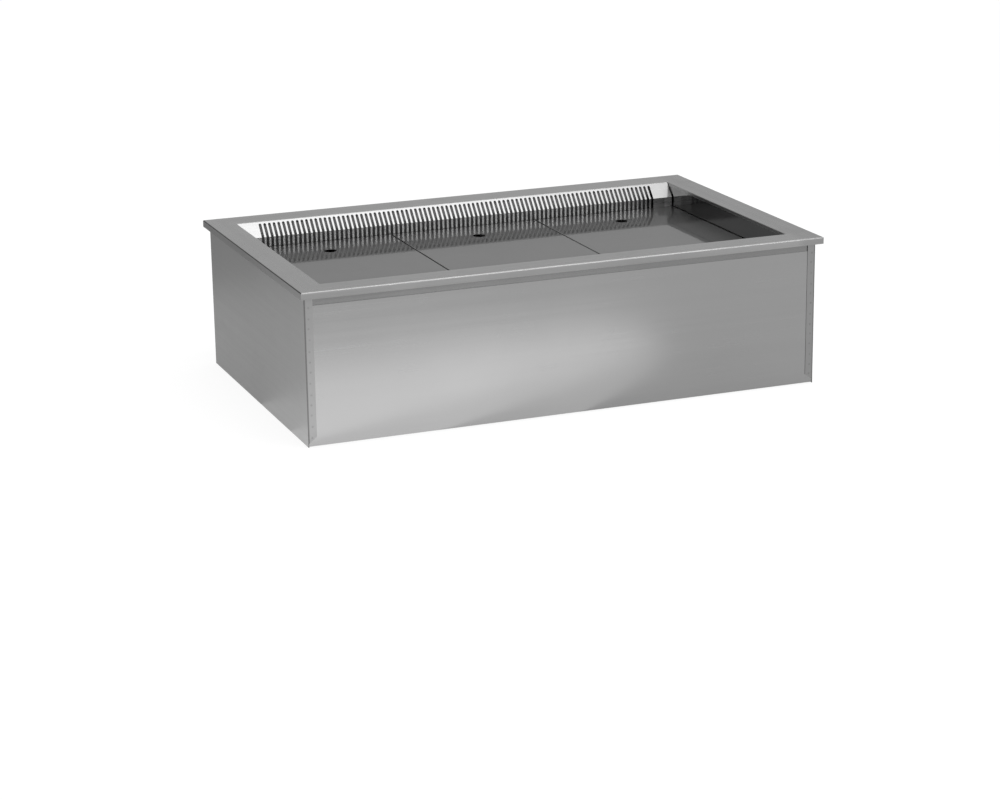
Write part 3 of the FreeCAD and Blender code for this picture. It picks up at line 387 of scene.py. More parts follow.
def handling_marks():
    """Faint wiped smears and touches left by handling."""
    tree, given, out = new_group("Handling Marks", {"Marks Per Metre": 14.0, "Amount": 1.0},
                                 ["Mark"])
    smear = noise(tree, part_place(tree), given.outputs["Marks Per Metre"], detail=4.0,
                  rough=0.55, twist=0.8)
    mask = spread(tree, smear, low=0.52, high=0.72)
    join(tree, maths(tree, "MULTIPLY", mask, given.outputs["Amount"]), out.inputs["Mark"])
    return tree


def pebble():
    """Small rounded bumps of moulded plastic, rubber and foam skin."""
    tree, given, out = new_group("Pebble", {"Bumps Per Metre": 900.0}, ["Height", "Pit"])
    cells = tree.nodes.new("ShaderNodeTexVoronoi")
    cells.feature = "SMOOTH_F1"
    join(tree, part_place(tree), cells.inputs["Vector"])
    join(tree, given.outputs["Bumps Per Metre"], cells.inputs["Scale"])
    join(tree, maths(tree, "SUBTRACT", 1.0, cells.outputs["Distance"]), out.inputs["Height"])
    # Pit: 1 in the hollows round each bump, where the foam paints shade
    join(tree, spread(tree, cells.outputs["Distance"], low=0.45, high=0.75), out.inputs["Pit"])
    return tree


GROUP_MAKERS = {"Brushed Grain": brushed_grain, "Mitred Frame": mitred_frame,
                "Painted Fold Lines": painted_fold_lines, "Soft Clouds": soft_clouds,
                "Handling Marks": handling_marks, "Pebble": pebble}


def use_group(tree, name, **values):
    """Places a shared group in a material, built the first time it is asked for."""
    shared = bpy.data.node_groups.get(name) or GROUP_MAKERS[name]()
    node = tree.nodes.new("ShaderNodeGroup")
    node.node_tree = shared
    for label, value in values.items():
        node.inputs[label.replace("_", " ")].default_value = value
    return node


# --------------------------------------------------------------- materials

def new_finish(name, edge_tint=None, **sockets):
    """A material with a Principled shader whose fixed values are set on it."""
    finish = bpy.data.materials.new(name)
    finish.use_nodes = True
    shader = finish.node_tree.nodes["Principled BSDF"]
    for label, value in sockets.items():
        shader.inputs[label.replace("_", " ")].default_value = value
    if edge_tint is not None:
        shader.inputs["Specular Tint"].default_value = (edge_tint, edge_tint, edge_tint, 1)
    return finish, finish.node_tree, shader


def tone(base, factor):
    """A colour made lighter or darker, with alpha."""
    return tuple(min(1.0, c * factor) for c in base) + (1.0,)


def blend_colours(tree, factor, low, high, kind="MIX"):
    """A colour that runs between two others, each fixed or varying."""
    mix = tree.nodes.new("ShaderNodeMix")
    mix.data_type = "RGBA"
    mix.blend_type = kind
    feed(tree, factor, mix.inputs["Factor"])
    for place, value in zip(MIX_COLOURS, (low, high)):
        feed(tree, value, mix.inputs[place])
    return mix.outputs[MIX_SHOWN]


def blend_values(tree, factor, low, high):
    """A value that runs between two others."""
    mix = tree.nodes.new("ShaderNodeMix")
    join(tree, factor, mix.inputs["Factor"])
    for place, value in zip(MIX_VALUES, (low, high)):
        feed(tree, value, mix.inputs[place])
    return mix.outputs[0]


def bump(tree, shader, height, depth):
    """Raises the surface by a height that varies, depth in metres."""
    node = tree.nodes.new("ShaderNodeBump")
    node.inputs["Strength"].default_value = 1.0
    node.inputs["Distance"].default_value = depth
    join(tree, height, node.inputs["Height"])
    join(tree, node.outputs["Normal"], shader.inputs["Normal"])


def place_mask(tree, axis, low, high):
    """1 where the part's own X, Y or Z is past high, 0 before low."""
    return spread(tree, part_axes(tree)[axis], low, high)


def scaled_colour(tree, colour_out, mask, factor):
    """Makes a colour lighter or darker where a mask is 1."""
    full = tree.nodes.new("ShaderNodeVectorMath")
    full.operation = "SCALE"
    join(tree, colour_out, full.inputs[0])
    join(tree, blend_values(tree, mask, 1.0, factor), full.inputs["Scale"])
    return full.outputs[0]


def paint_lip_shade(tree, colour_out, mask, factor):
    """Paints shade on the upright lip of the end members: a darker tone that stands in for the dark
    reflection these lips show.
    """
    axes = part_axes(tree)
    top, foot = (RIM_HIGH.z - down for down in LIP_BAND)
    below = spread(tree, axes["Z"], foot, top, to_low=1.0, to_high=0.0)
    outer = maths(tree, "GREATER_THAN", maths(tree, "ABSOLUTE", axes["X"]),
                  RIM_HIGH.x - LIP_END)
    where = maths(tree, "MULTIPLY", maths(tree, "MULTIPLY", below, outer), mask)
    return scaled_colour(tree, colour_out, where, factor)


def paint_fold_light(tree, colour_out, box, tones, reach):
    """Paints a highlight or a shade on the folded edges of a box-shaped piece, by their kind."""
    folds = use_group(tree, "Painted Fold Lines", Half_Length=box.x, Half_Depth=box.y, Height=box.z,
                      Reach=reach)
    for kind, factor in tones.items():
        colour_out = scaled_colour(tree, colour_out, folds.outputs[kind], factor)
    return colour_out


def sheet_steel(name, base, rough, run, tint=0.72, streak=0.10, rough_streak=0.08, haze=0.04,
                clouds=6.0, cloud_tone=0.04, relief=0.00001, mitred=False, marks=0.05,
                folds=None, fold_box=None, fold_reach=0.0026, lip=1.0, zones=(), **sockets):
    """Stainless sheet: brushed lines, slow clouds and faint handling marks.

    Each zone is (limits, tone, added roughness), and each limit (axis, begins, full). The zones,
    the lip tone and the fold tones paint light and shade by place.
    """
    finish, tree, shader = new_finish(name, edge_tint=tint, Metallic=1.0, **sockets)
    grain = use_group(tree, "Brushed Grain", Lines_Per_Metre=run)
    lines, bands = grain.outputs["Lines"], grain.outputs["Bands"]
    if mitred:
        member = use_group(tree, "Mitred Frame", Half_Length=RIM_HIGH.x, Half_Depth=RIM_HIGH.y)
        turned = use_group(tree, "Brushed Grain", Lines_Per_Metre=CROSS_RUN)
        mask = member.outputs["End Member"]
        lines = blend_values(tree, mask, lines, turned.outputs["Lines"])
        bands = blend_values(tree, mask, bands, turned.outputs["Bands"])
    cloud = use_group(tree, "Soft Clouds", Clouds_Per_Metre=clouds).outputs["Cloud"]
    mark = use_group(tree, "Handling Marks", Amount=marks).outputs["Mark"]
    shade = maths(tree, "MULTIPLY_ADD", bands, BAND_SHARE,
                  maths(tree, "MULTIPLY", lines, LINE_SHARE))
    brushed = blend_colours(tree, shade, tone(base, 1 - streak / 2), tone(base, 1 + streak / 2))
    clouded = blend_colours(tree, cloud, tone((1, 1, 1), 1 - cloud_tone), (1, 1, 1, 1))
    shown = blend_colours(tree, 1.0, brushed, clouded, "MULTIPLY")
    # painted shade on the upright lips of the end members
    if mitred and lip != 1.0:
        shown = paint_lip_shade(tree, shown, mask, lip)
    # painted highlights and painted shade along the folds
    if folds:
        shown = paint_fold_light(tree, shown, fold_box, folds, fold_reach)
    gloss = spread(tree, bands, 0.0, 1.0, to_low=rough - rough_streak / 2,
                   to_high=rough + rough_streak / 2)
    gloss = maths(tree, "MULTIPLY_ADD", lines, haze, gloss)
    # painted light and shade by place
    for limits, factor, rougher in zones:
        there = 1.0
        for axis, low, high in limits:
            there = maths(tree, "MULTIPLY", place_mask(tree, axis, low, high), there)
        shown = scaled_colour(tree, shown, there, factor)
        if rougher:
            gloss = maths(tree, "MULTIPLY_ADD", there, rougher, gloss)
    join(tree, shown, shader.inputs["Base Color"])
    join(tree, maths(tree, "ADD", gloss, mark), shader.inputs["Roughness"])
    bump(tree, shader, lines, relief)
    return finish


def moulded(name, base, rough, bumps, depth, clouds=30.0, cloud_tone=0.12, cloud_rough=0.04):
    """Moulded plastic or rubber with a pebbled skin."""
    finish, tree, shader = new_finish(name)
    skin = use_group(tree, "Pebble", Bumps_Per_Metre=bumps)
    cloud = use_group(tree, "Soft Clouds", Clouds_Per_Metre=clouds).outputs["Cloud"]
    join(tree, blend_colours(tree, cloud, tone(base, 1 - cloud_tone), tone(base, 1 + cloud_tone)),
         shader.inputs["Base Color"])
    wiped = use_group(tree, "Handling Marks", Marks_Per_Metre=40.0, Amount=0.10)
    gloss = spread(tree, cloud, 0.0, 1.0, to_low=rough - cloud_rough, to_high=rough + cloud_rough)
    join(tree, maths(tree, "ADD", gloss, wiped.outputs["Mark"]), shader.inputs["Roughness"])
    bump(tree, shader, skin.outputs["Height"], depth)
    return finish


def foamed(name, base, thin_tone=0.85, skin_tone=1.1, pit_shade=0.5, depth=0.0006):
    """Cut foam: open cells, with painted shade in their pits and a yellowed skin."""
    finish, tree, shader = new_finish(name, Roughness=0.9)
    cells = use_group(tree, "Pebble", Bumps_Per_Metre=520.0)
    cloud = use_group(tree, "Soft Clouds", Clouds_Per_Metre=9.0).outputs["Cloud"]
    skin = blend_colours(tree, cloud, tone(base, thin_tone), tone(base, skin_tone))
    join(tree, blend_colours(tree, cells.outputs["Pit"], skin, tone(base, pit_shade)),
         shader.inputs["Base Color"])
    bump(tree, shader, cells.outputs["Height"], depth)
    return finish


def drawn_metal(name, base, rough, dark, clouds=60.0, marks=0.15, dull=0.08, relief=0.00001):
    """Bare copper, brass or aluminium with patches of tarnish."""
    finish, tree, shader = new_finish(name, Metallic=1.0)
    cloud = use_group(tree, "Soft Clouds", Clouds_Per_Metre=clouds).outputs["Cloud"]
    mark = use_group(tree, "Handling Marks", Marks_Per_Metre=90.0, Amount=marks)
    grain = use_group(tree, "Brushed Grain", Lines_Per_Metre=DRAWN_RUN)
    join(tree, blend_colours(tree, cloud, tone(base, dark), tone(base, 1.0)),
         shader.inputs["Base Color"])
    gloss = spread(tree, cloud, 0.0, 1.0, to_low=rough + dull, to_high=rough)
    join(tree, maths(tree, "ADD", gloss, mark.outputs["Mark"]), shader.inputs["Roughness"])
    bump(tree, shader, grain.outputs["Lines"], relief)
    return finish


def dress(finish, *nodes):
    """Gives CAD nodes their finish."""
    for name in nodes:
        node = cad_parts[name]
        node.data.materials.clear()
        node.data.materials.append(finish)


# ------------------------------------------------------------------ meshes

def lathe(profile, segments):
    """Turns (radius, height) points about Z. The first point is the outer foot."""
    points, faces = [], []
    for radius, height in profile:
        for step in range(segments):
            turn = 2 * math.pi * step / segments
            points.append(Vector((radius * math.cos(turn), radius * math.sin(turn), height)))
    for ring in range(len(profile) - 1):
        for step in range(segments):
            after = (step + 1) % segments
            a, b = ring * segments + step, ring * segments + after
            faces.append((a, b, b + segments, a + segments))
    top = (len(profile) - 1) * segments
    faces.append(tuple(range(top, top + segments)))
    faces.append(tuple(reversed(range(segments))))
    return points, faces


def pan_head(width, rings=14, segments=40):
    """A pan head screw with a cross recess, its foot at the origin, facing +Z."""
    radius, height = width / 2, width * 0.32
    arm, half, depth = width * 0.30, width * 0.055, width * 0.20

    def level(x, y):
        """Height of the head over a point, with the cross cut into it."""
        out = min(1.0, math.hypot(x, y) / radius)
        dome = height * (1 - 0.55 * out ** 4)
        inside = max(min(arm - abs(x), half - abs(y)), min(arm - abs(y), half - abs(x)))
        cut = min(1.0, max(0.0, inside / (half * 0.5)))
        return dome - depth * cut

    points, faces = [Vector((0, 0, level(0, 0)))], []
    for ring in range(1, rings + 1):
        reach = radius * ring / rings
        for step in range(segments):
            turn = 2 * math.pi * (step + 0.5) / segments
            x, y = reach * math.cos(turn), reach * math.sin(turn)
            points.append(Vector((x, y, level(x, y))))
    foot = len(points)
    points += [Vector((point.x, point.y, 0)) for point in points[-segments:]]
    for step in range(segments):
        after = (step + 1) % segments
        faces.append((0, 1 + step, 1 + after))
        for ring in range(rings - 1):
            a, b = 1 + ring * segments + step, 1 + ring * segments + after
            faces.append((a, a + segments, b + segments, b))
        edge = 1 + (rings - 1) * segments
        faces.append((edge + step, foot + step, foot + after, edge + after))
    faces.append(tuple(reversed(range(foot, foot + segments))))
    return points, faces


def facing(place, normal):
    """Stands a small piece made along +Z on a face, at a place, along its normal."""
    turn = Vector(normal).to_track_quat("Z", "Y").to_matrix().to_4x4()
    return Matrix.Translation(Vector(place)) @ turn


def piece(name, body, finish, parts, smooth_angle=35.0):
    """One named mesh piece from (points, faces, matrix) parts, riding on a body."""
    points, faces = [], []
    for part_points, part_faces, matrix in parts:
        start = len(points)
        points.extend(matrix @ p for p in part_points)
        faces.extend(tuple(start + i for i in face) for face in part_faces)
    mesh = bpy.data.meshes.new(name)
    mesh.from_pydata([tuple(p) for p in points], [], faces)
    mesh.validate()
    mesh.materials.append(finish)
    mesh.shade_smooth()
    mesh.set_sharp_from_angle(angle=math.radians(smooth_angle))
    made = bpy.data.objects.new(name, mesh)
    bpy.context.scene.collection.objects.link(made)
    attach(made, body)
    return made


def screws(name, body, finish, width, places, normal):
    """A set of equal pan head screws on one face."""
    points, faces = pan_head(width)
    parts = [(points, faces, facing(place, normal)) for place in places]
    piece(name, body, finish, parts)


def ring_bead(width, pipe):
    """A braze or weld fillet round a pipe, at its foot."""
    return lathe([(pipe + width * out, width * up) for out, up in BEAD_PROFILE], 28)


def fin_pack(detail, steps=13):
    """Corrugated fins at their real pitch, in the place of the construction's fin pack."""
    width = FINS_HIGH.x - FINS_LOW.x
    count = int((width - detail.fin_sheet) / detail.fin_pitch) + 1
    first = (FINS_LOW.x + FINS_HIGH.x - (count - 1) * detail.fin_pitch) / 2
    points, faces = [], []
    for fin in range(count):
        start = len(points)
        middle = first + fin * detail.fin_pitch
        for step in range(steps + 1):
            y = FINS_LOW.y + (FINS_HIGH.y - FINS_LOW.y) * step / steps
            bend = detail.fin_wave * (0.5 if step % 2 else -0.5)
            for half in (-0.5, 0.5):
                x = middle + bend + half * detail.fin_sheet
                x = min(FINS_HIGH.x, max(FINS_LOW.x, x))
                points += [Vector((x, y, FINS_LOW.z)), Vector((x, y, FINS_HIGH.z))]
        for step in range(steps):
            a = start + 4 * step
            faces += [(a, a + 1, a + 5, a + 4), (a + 2, a + 6, a + 7, a + 3),
                      (a + 1, a + 3, a + 7, a + 5), (a, a + 4, a + 6, a + 2)]
        last = start + 4 * steps
        faces += [(start, start + 2, start + 3, start + 1), (last, last + 1, last + 3, last + 2)]
    return points, faces, Matrix.Identity(4)


def middle_of(name):
    """The middle of a node's box."""
    low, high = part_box(name)
    return (low + high) / 2


# --------------------------------------------------------------- operators

def steel_finish(kind):
    """The sheet steel finish of that kind, made once."""
    made = bpy.data.materials.get(kind)
    if made:
        return made
    look = bpy.context.scene.well_steel
    if kind == "Rim steel with painted light and shade":
        front = (("Y", *(inset - RIM_HIGH.y for inset in LIP_FACE)),
                 ("Z", *(RIM_HIGH.z - down for down in LIP_BAND)), ("X", *LIP_LEFT))
        return sheet_steel(kind, look.rim, look.rim_rough, LONG_RUN, mitred=True,
                           # painted shade on the front lip, left of its bright end
                           zones=((front, look.front_lip_shade, 0.0),
                                  # painted shade on the right end member
                                  ((("X", *MEMBER_RIGHT),), look.right_member_shade, 0.0)),
                           # lip: painted shade on the two end lips
                           streak=0.12, rough_streak=0.08, lip=look.end_lip_shade, fold_box=RIM_HIGH,
                           # painted shade on the end folds, painted highlight on the long folds
                           folds={"End Fold Shade": look.end_fold_shade, "Long Fold Highlight": look.long_fold_highlight})
    if kind == "Casing steel":
        return sheet_steel(kind, look.panel, look.panel_rough, LEVEL_RUN, streak=0.03,
                           rough_streak=0.03, clouds=3.0, marks=0.015)
    if kind == "Side panel steel with painted shade":
        flanges = [("Y", *(side * (STRIP_BOX.y - inset) for inset in FLANGE_FACE))
                   for side in (-1, 1)]
        return sheet_steel(kind, look.side, look.side_rough, LEVEL_RUN, streak=0.03,
                           rough_streak=0.03, clouds=3.0, marks=0.02,
                           # painted shade on the return flanges
                           zones=[((flange,), look.strip_shade, 0.0) for flange in flanges],
                           # painted shade along the folded corners
                           folds={"Corner Fold Shade": look.corner_fold_shade}, fold_box=STRIP_BOX,
                           fold_reach=0.0030)
    # the collar's darker colour is painted shadow of the lip
    if kind == "Collar steel with painted shadow":
        return sheet_steel(kind, look.collar, look.panel_rough, LEVEL_RUN, streak=0.05)
    if kind == "Tank steel with painted light and shade":
        rear = [TANK_HIGH.y - inset for inset in TANK_REAR]
        behind, in_front = ("Y", *rear), ("Y", *reversed(rear))
        return sheet_steel(kind, look.tank, look.tank_rough, LEVEL_RUN, tint=0.62, streak=0.03,
                           rough_streak=0.02, haze=0.02, relief=0.0000004, marks=0.01,
                           # painted light below, beside and behind; painted shade behind the
                           # upright
                           zones=(((("Z", *TANK_BELOW),), look.tank_below_light, 0.15),
                                  ((("Z", *TANK_GAP), in_front), look.tank_gap_light, 0.28),
                                  ((behind,), look.wall_foot_shade, 0.4),
                                  ((behind, ("Z", *WALL_HIGH)), look.wall_top_light, 0.0)))
    if kind == "Plate steel":
        return sheet_steel(kind, look.plate, look.plate_rough, POLISH_RUN, tint=0.30,
                           streak=0.02, rough_streak=0.01, haze=0.03, relief=0.0000002,
                           marks=0.01, Coat_Weight=look.plate_polish,
                           Coat_Roughness=look.polish_rough)
    if kind == "Grille steel with painted light":
        plate_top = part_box("base_plate_left")[1].z
        upright = ("Z", *(plate_top + up for up in UPRIGHT_TOP))
        return sheet_steel(kind, look.grille, look.grille_rough, LONG_RUN, tint=0.75,
                           streak=0.03, rough_streak=0.03, relief=0.000002, marks=0.02,
                           # painted light on the upright and its right end
                           zones=(((upright,), look.grille_foot_light, 0.0),
                                  ((upright, ("X", *UPRIGHT_END)), look.grille_end_light, 0.0)))
    if kind == "Cover steel":
        return sheet_steel(kind, look.cover, rough=0.45, run=LONG_RUN, tint=0.85, streak=0.08,
                           clouds=60.0, cloud_tone=0.12)
    return sheet_steel(kind, look.bracket, rough=0.32, run=LONG_RUN, tint=0.75, streak=0.10)


class WELL_OT_rim(Operator):
    """Brushed rim of the well and the sealing strip under it"""
    bl_idname = "well.rim"
    bl_label = "Rim"

    def execute(self, context):
        dress(steel_finish("Rim steel with painted light and shade"), "rim_frame")
        sponge = moulded("Sponge rubber", context.scene.well_other.seal, rough=0.75,
                         bumps=1400.0, depth=0.0003)
        dress(sponge, "rim_seal")
        return {"FINISHED"}


class WELL_OT_casing(Operator):
    """Casing panels, collar and insulation, with the spot welds of the corner strips"""
    bl_idname = "well.casing"
    bl_label = "Casing"

    def execute(self, context):
        detail = context.scene.well_detail
        panel = steel_finish("Casing steel")
        dress(panel, "casing_wrap")
        dress(steel_finish("Side panel steel with painted shade"), "side_panel_left", "side_panel_right")
        dress(steel_finish("Collar steel with painted shadow"), "collar_frame")
        dress(foamed("Insulating foam with painted pit shade", context.scene.well_other.foam), "insulation")
        burnt = tuple(c * WELD_TONE for c in context.scene.well_steel.side)
        weld = sheet_steel("Spot weld steel", burnt, rough=0.42, run=LEVEL_RUN, streak=0.1,
                           clouds=220.0, cloud_tone=0.15)
        half = detail.weld_width / 2
        dished = lathe([(half * out, up) for out, up in WELD_PROFILE], 20)
        for side, name in ((-1, "left"), (1, "right")):
            parts = []
            for face, step in product((-1, 1), range(detail.weld_count)):
                sway = WELD_SWAY * math.sin(step * SWAY_STEP + side)
                lift = WELD_LIFT * math.sin(step * LIFT_STEP + 2 * side)
                place = (side * (abs(STRIP_LOW.x) - detail.weld_inset - sway),
                         face * abs(STRIP_LOW.y),
                         detail.weld_first + step * detail.weld_pitch + lift)
                parts.append((*dished, facing(place, (0, face, 0))))
            piece("spot_welds_" + name, "well", weld, parts, smooth_angle=80.0)
        return {"FINISHED"}


class WELL_OT_tank(Operator):
    """Polished tank, drain, strainer and the screws of its rear wall"""
    bl_idname = "well.tank"
    bl_label = "Tank"

    def execute(self, context):
        detail = context.scene.well_detail
        tank = steel_finish("Tank steel with painted light and shade")
        bracket = steel_finish("Bracket steel")
        dress(tank, "tank_liner", "drain_outlet", "drain_strainer")
        dress(bracket, "plate_bearer_left", "plate_bearer_right", "cover_ledge_left",
              "cover_ledge_right", "probe_clip")
        dress(steel_finish("Cover steel"), "coil_cover", "fan_plate")
        places = [(x, TANK_HIGH.y - TANK_SHEET, z) for x, z in WALL_SCREWS]
        screws("rear_wall_screws", "well", bracket, detail.wall_screw_width, places, TO_FRONT)
        low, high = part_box("coil_cover")
        places = [(x, y, high.z) for x in (-COVER_SCREW_SIDE, COVER_SCREW_SIDE)
                  for y in (low.y + COVER_SCREW_INSET, high.y - COVER_SCREW_INSET)]
        screws("coil_cover_screws", "well", bracket, detail.screw_width, places, UPWARD)
        return {"FINISHED"}


class WELL_OT_air_grilles(Operator):
    """Slotted rear grille and the return grille in front"""
    bl_idname = "well.air_grilles"
    bl_label = "Air grilles"

    def execute(self, context):
        dress(steel_finish("Grille steel with painted light"), "air_grille")
        dress(steel_finish("Tank steel with painted light and shade"), "return_grille")
        return {"FINISHED"}


class WELL_OT_base_plates(Operator):
    """Three polished base plates with finger holes"""
    bl_idname = "well.base_plates"
    bl_label = "Base plates"

    def execute(self, context):
        dress(steel_finish("Plate steel"), "base_plate_left", "base_plate_centre",
              "base_plate_right")
        return {"FINISHED"}


class WELL_OT_fans(Operator):
    """Fans with frames, impellers, guards and screws"""
    bl_idname = "well.fans"
    bl_label = "Fans"

    def execute(self, context):
        other = context.scene.well_other
        bracket = steel_finish("Bracket steel")
        frame_plastic = moulded("Fan plastic", other.fan, rough=0.45, bumps=1600.0,
                                depth=0.00012)
        blade_plastic = moulded("Impeller plastic", other.impeller, rough=0.38, bumps=2000.0,
                                depth=0.00006)
        sheet_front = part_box("fan_plate")[0].y + FAN_PLATE_FOOT
        for side in ("left", "right"):
            dress(frame_plastic, "fan_frame_" + side)
            dress(blade_plastic, "fan_impeller_" + side)
            dress(bracket, "fan_guard_" + side)
            low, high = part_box("fan_frame_" + side)
            places = [(x, sheet_front, z)
                      for x in (low.x + FAN_SCREW_INSET, high.x - FAN_SCREW_INSET)
                      for z in (low.z + FAN_SCREW_INSET, high.z - FAN_SCREW_INSET)]
            screws("fan_screws_" + side, "well", bracket, context.scene.well_detail.screw_width,
                   places, TO_FRONT)
        return {"FINISHED"}


class WELL_OT_cooling_coil(Operator):
    """Coil with its full fin pack, pipes, valve and brazed joints"""
    bl_idname = "well.cooling_coil"
    bl_label = "Cooling coil"

    def execute(self, context):
        detail, other = context.scene.well_detail, context.scene.well_other
        foil = drawn_metal("Fin foil", other.fin, rough=0.30, dark=0.90, clouds=40.0, marks=0.08)
        copper = drawn_metal("Drawn copper", other.copper, rough=0.26, dark=0.62)
        brass = drawn_metal("Valve brass", other.brass, rough=0.24, dark=0.80)
        braze = drawn_metal("Braze", tone(other.brass, 0.8)[:3], rough=0.34, dark=0.6,
                            clouds=240.0)
        plug = moulded("Pipe plug rubber", other.seal, rough=0.7, bumps=700.0, depth=0.0004)
        dress(copper, "evaporator_tubes", "liquid_line", "suction_line")
        dress(brass, "expansion_valve")
        dress(steel_finish("Bracket steel"), "evaporator_end_left", "evaporator_end_right")
        dress(plug, "pipe_plug")
        dress(foil, "evaporator_fins")
        pack = piece("coil_fin_pack", "well", foil, [fin_pack(detail)],
                     smooth_angle=10.0)
        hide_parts("evaporator_fins")

        liquid, suction = middle_of("liquid_line"), middle_of("suction_line")
        liquid_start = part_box("liquid_line")[0].y
        suction_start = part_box("suction_line")[0].y
        coil_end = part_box("evaporator_end_right")[1].x
        joints = (((liquid.x, liquid_start, liquid.z), TO_REAR, detail.liquid_pipe),
                  ((suction.x, suction_start, suction.z), TO_REAR, detail.suction_pipe),
                  ((coil_end, middle_of("expansion_valve").y, liquid.z), TO_RIGHT,
                   detail.coil_pipe))
        parts = [(*ring_bead(detail.braze_width, pipe), facing(place, way))
                 for place, way, pipe in joints]
        piece("brazed_joints", "well", braze, parts, smooth_angle=60.0)
        return {"FINISHED"}


class WELL_OT_electrics(Operator):
    """Junction box, conduit, grommet and temperature probe"""
    bl_idname = "well.electrics"
    bl_label = "Electrics"

    def execute(self, context):
        detail, other = context.scene.well_detail, context.scene.well_other
        box_plastic = moulded("Box plastic", other.box, rough=0.42, bumps=1300.0, depth=0.00015)
        conduit = moulded("Conduit plastic", other.conduit, rough=0.5, bumps=1200.0,
                          depth=0.0002)
        probe = sheet_steel("Probe steel", other.probe, rough=0.2, run=LONG_RUN, tint=0.8,
                            streak=0.06)
        dress(box_plastic, "junction_box", "junction_box_lid")
        dress(conduit, "cable_conduit", "cable_grommet")
        dress(probe, "temperature_probe")
        low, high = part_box("junction_box_lid")
        places = [(x, low.y, z) for x in (low.x + LID_SCREW_INSET, high.x - LID_SCREW_INSET)
                  for z in (low.z + LID_SCREW_INSET, high.z - LID_SCREW_INSET)]
        screws("lid_screws", "well", steel_finish("Bracket steel"), detail.box_screw_width,
               places, TO_FRONT)
        return {"FINISHED"}


def flat_sheet(name, face, place, turn=(0.0, 0.0, 0.0)):
    """A flat stage sheet, which isn't part of the object."""
    mesh = bpy.data.meshes.new(name)
    half_w, half_d = face[0] / 2, face[1] / 2
    corners = [(-half_w, -half_d, 0), (half_w, -half_d, 0), (half_w, half_d, 0),
               (-half_w, half_d, 0)]
    mesh.from_pydata(corners, [], [(0, 1, 2, 3)])
    sheet = bpy.data.objects.new(name, mesh)
    sheet.location = place
    sheet.rotation_euler = turn
    bpy.context.scene.collection.objects.link(sheet)
    return sheet


def glowing(name, paint, glow):
    """A matt paint that gives some light by itself."""
    return new_finish(name, Roughness=1.0, Base_Color=(paint, paint, paint, 1),
                      Specular_IOR_Level=0.0, Emission_Color=(1, 1, 1, 1),
                      Emission_Strength=glow)[0]


def reflector(name, glow, face, place, turn):
    """A grey or dark card of the studio, seen only in the steel."""
    card = flat_sheet(name, face, place, turn)
    card.data.materials.append(glowing(name + "_paper", 0, glow))
    card.visible_camera = card.visible_diffuse = card.visible_shadow = False


def softbox(name, power, face, place, turn, shape="RECTANGLE"):
    """A lamp with an even face, which the camera itself doesn't see."""
    lamp = bpy.data.lights.new(name, "AREA")
    lamp.shape = shape
    lamp.size, lamp.size_y = face
    lamp.energy = power
    holder = bpy.data.objects.new(name, lamp)
    holder.location = place
    holder.rotation_euler = turn
    holder.visible_camera = False
    bpy.context.scene.collection.objects.link(holder)


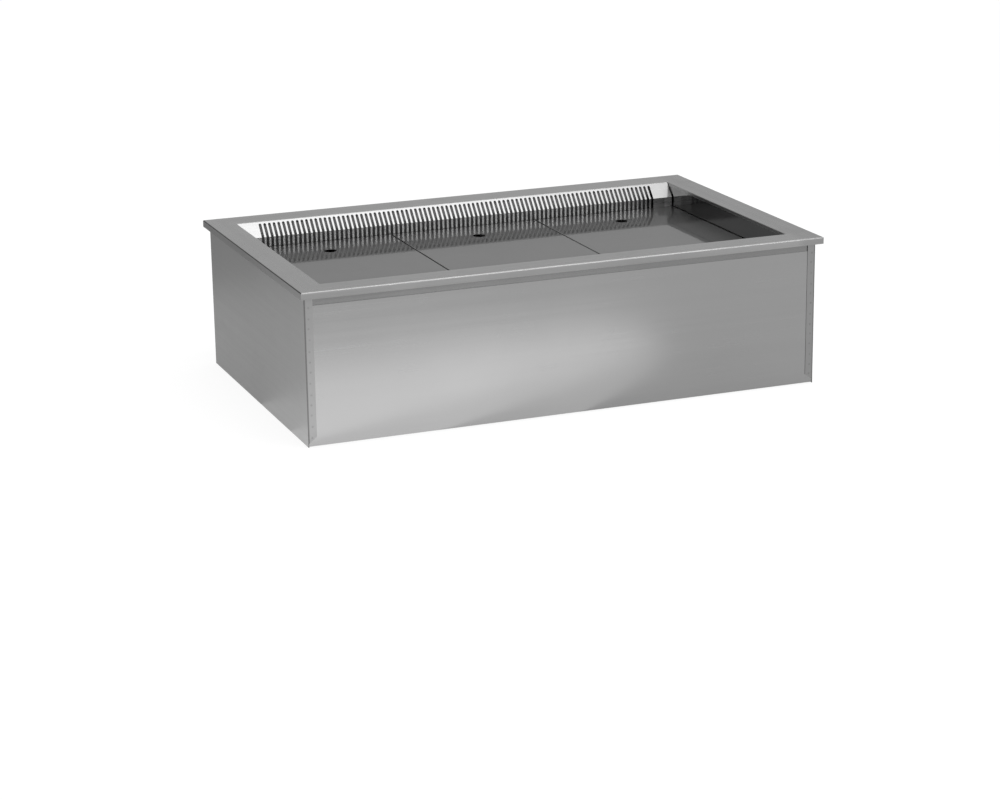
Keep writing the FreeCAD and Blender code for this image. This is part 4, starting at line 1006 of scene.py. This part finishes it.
class WELL_OT_stage(Operator):
    """White floor, even light, softboxes and the camera"""
    bl_idname = "well.stage"
    bl_label = "Stage"

    def execute(self, context):
        studio, scene = context.scene.well_studio, context.scene
        scene.view_settings.view_transform = "Standard"
        floor = flat_sheet("studio_floor", (studio.floor_side, studio.floor_side),
                           (0, 0, -FLOOR_DROP))
        floor.data.materials.append(glowing("Floor paint", studio.floor_white, studio.floor_glow))

        reflector("grey_card", studio.card, *GREY_CARD)
        reflector("dark_card", studio.flag, *DARK_CARD)
        softbox("top_softbox", studio.top_box, *TOP_BOX)
        softbox("front_softbox", studio.front_box, *FRONT_BOX)
        for step, wide in enumerate(LOW_SHARES):
            softbox("low_softbox_%d" % step, studio.low_box * wide,
                    (LOW_FACE[0], LOW_FACE[1] * wide), (*LOW_PLACE, -LOW_DROP - LOW_DROP * step),
                    LOW_TURN, "ELLIPSE")

        world = scene.world or bpy.data.worlds.new("Studio light")
        scene.world = world
        world.use_nodes = True
        tree = world.node_tree
        sky = tree.nodes["Background"]
        path = tree.nodes.new("ShaderNodeLightPath")
        sky.inputs["Color"].default_value = (1, 1, 1, 1)
        join(tree, spread(tree, path.outputs["Is Diffuse Ray"], 0.0, 1.0, to_low=1.0,
                          to_high=studio.fill), sky.inputs["Strength"])

        lens = bpy.data.cameras.new("Product camera")
        lens.sensor_width, lens.lens = SENSOR_WIDTH, studio.lens
        camera = bpy.data.objects.new("product_camera", lens)
        turn = (Matrix.Rotation(studio.azimuth, 4, "Z")
                @ Matrix.Rotation(UPRIGHT - studio.elevation, 4, "X")
                @ Matrix.Rotation(studio.roll, 4, "Z"))
        camera.matrix_world = Matrix.Translation(Vector(studio.eye)) @ turn
        scene.collection.objects.link(camera)
        scene.camera = camera
        return {"FINISHED"}


MAKERS = (WELL_OT_stage, WELL_OT_rim, WELL_OT_casing, WELL_OT_tank, WELL_OT_air_grilles,
          WELL_OT_base_plates, WELL_OT_fans, WELL_OT_cooling_coil, WELL_OT_electrics)


class WELL_PT_sidebar(Panel):
    """Food well: settings and the steps that dress it"""
    bl_label = "Food Well"
    bl_idname = "WELL_PT_sidebar"
    bl_space_type = "VIEW_3D"
    bl_region_type = "UI"
    bl_category = "Food Well"

    def draw(self, context):
        for maker in MAKERS:
            self.layout.operator(maker.bl_idname)
        for title, (place, _) in SETTINGS.items():
            self.layout.label(text=title)
            settings = getattr(context.scene, place)
            for name in settings.__annotations__:
                self.layout.prop(settings, name)


SETTINGS = {"Steel": ("well_steel", WellSteel), "Other finishes": ("well_other", WellOther),
            "Details": ("well_detail", WellDetail), "Studio": ("well_studio", WellStudio)}
CLASSES = (WellSteel, WellOther, WellDetail, WellStudio) + MAKERS + (WELL_PT_sidebar,)


def register():
    """Registers the settings, the steps and the panel."""
    for kind in CLASSES:
        bpy.utils.register_class(kind)
    for place, kind in SETTINGS.values():
        setattr(bpy.types.Scene, place, PointerProperty(type=kind))


def unregister():
    """Takes the settings, the steps and the panel away again."""
    for place, kind in SETTINGS.values():
        delattr(bpy.types.Scene, place)
    for kind in reversed(CLASSES):
        bpy.utils.unregister_class(kind)


def main():
    """Dresses the well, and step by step."""
    register()
    for maker in MAKERS:
        family, step = maker.bl_idname.split(".")
        getattr(getattr(bpy.ops, family), step)()


if __name__ == "__main__":
    main()
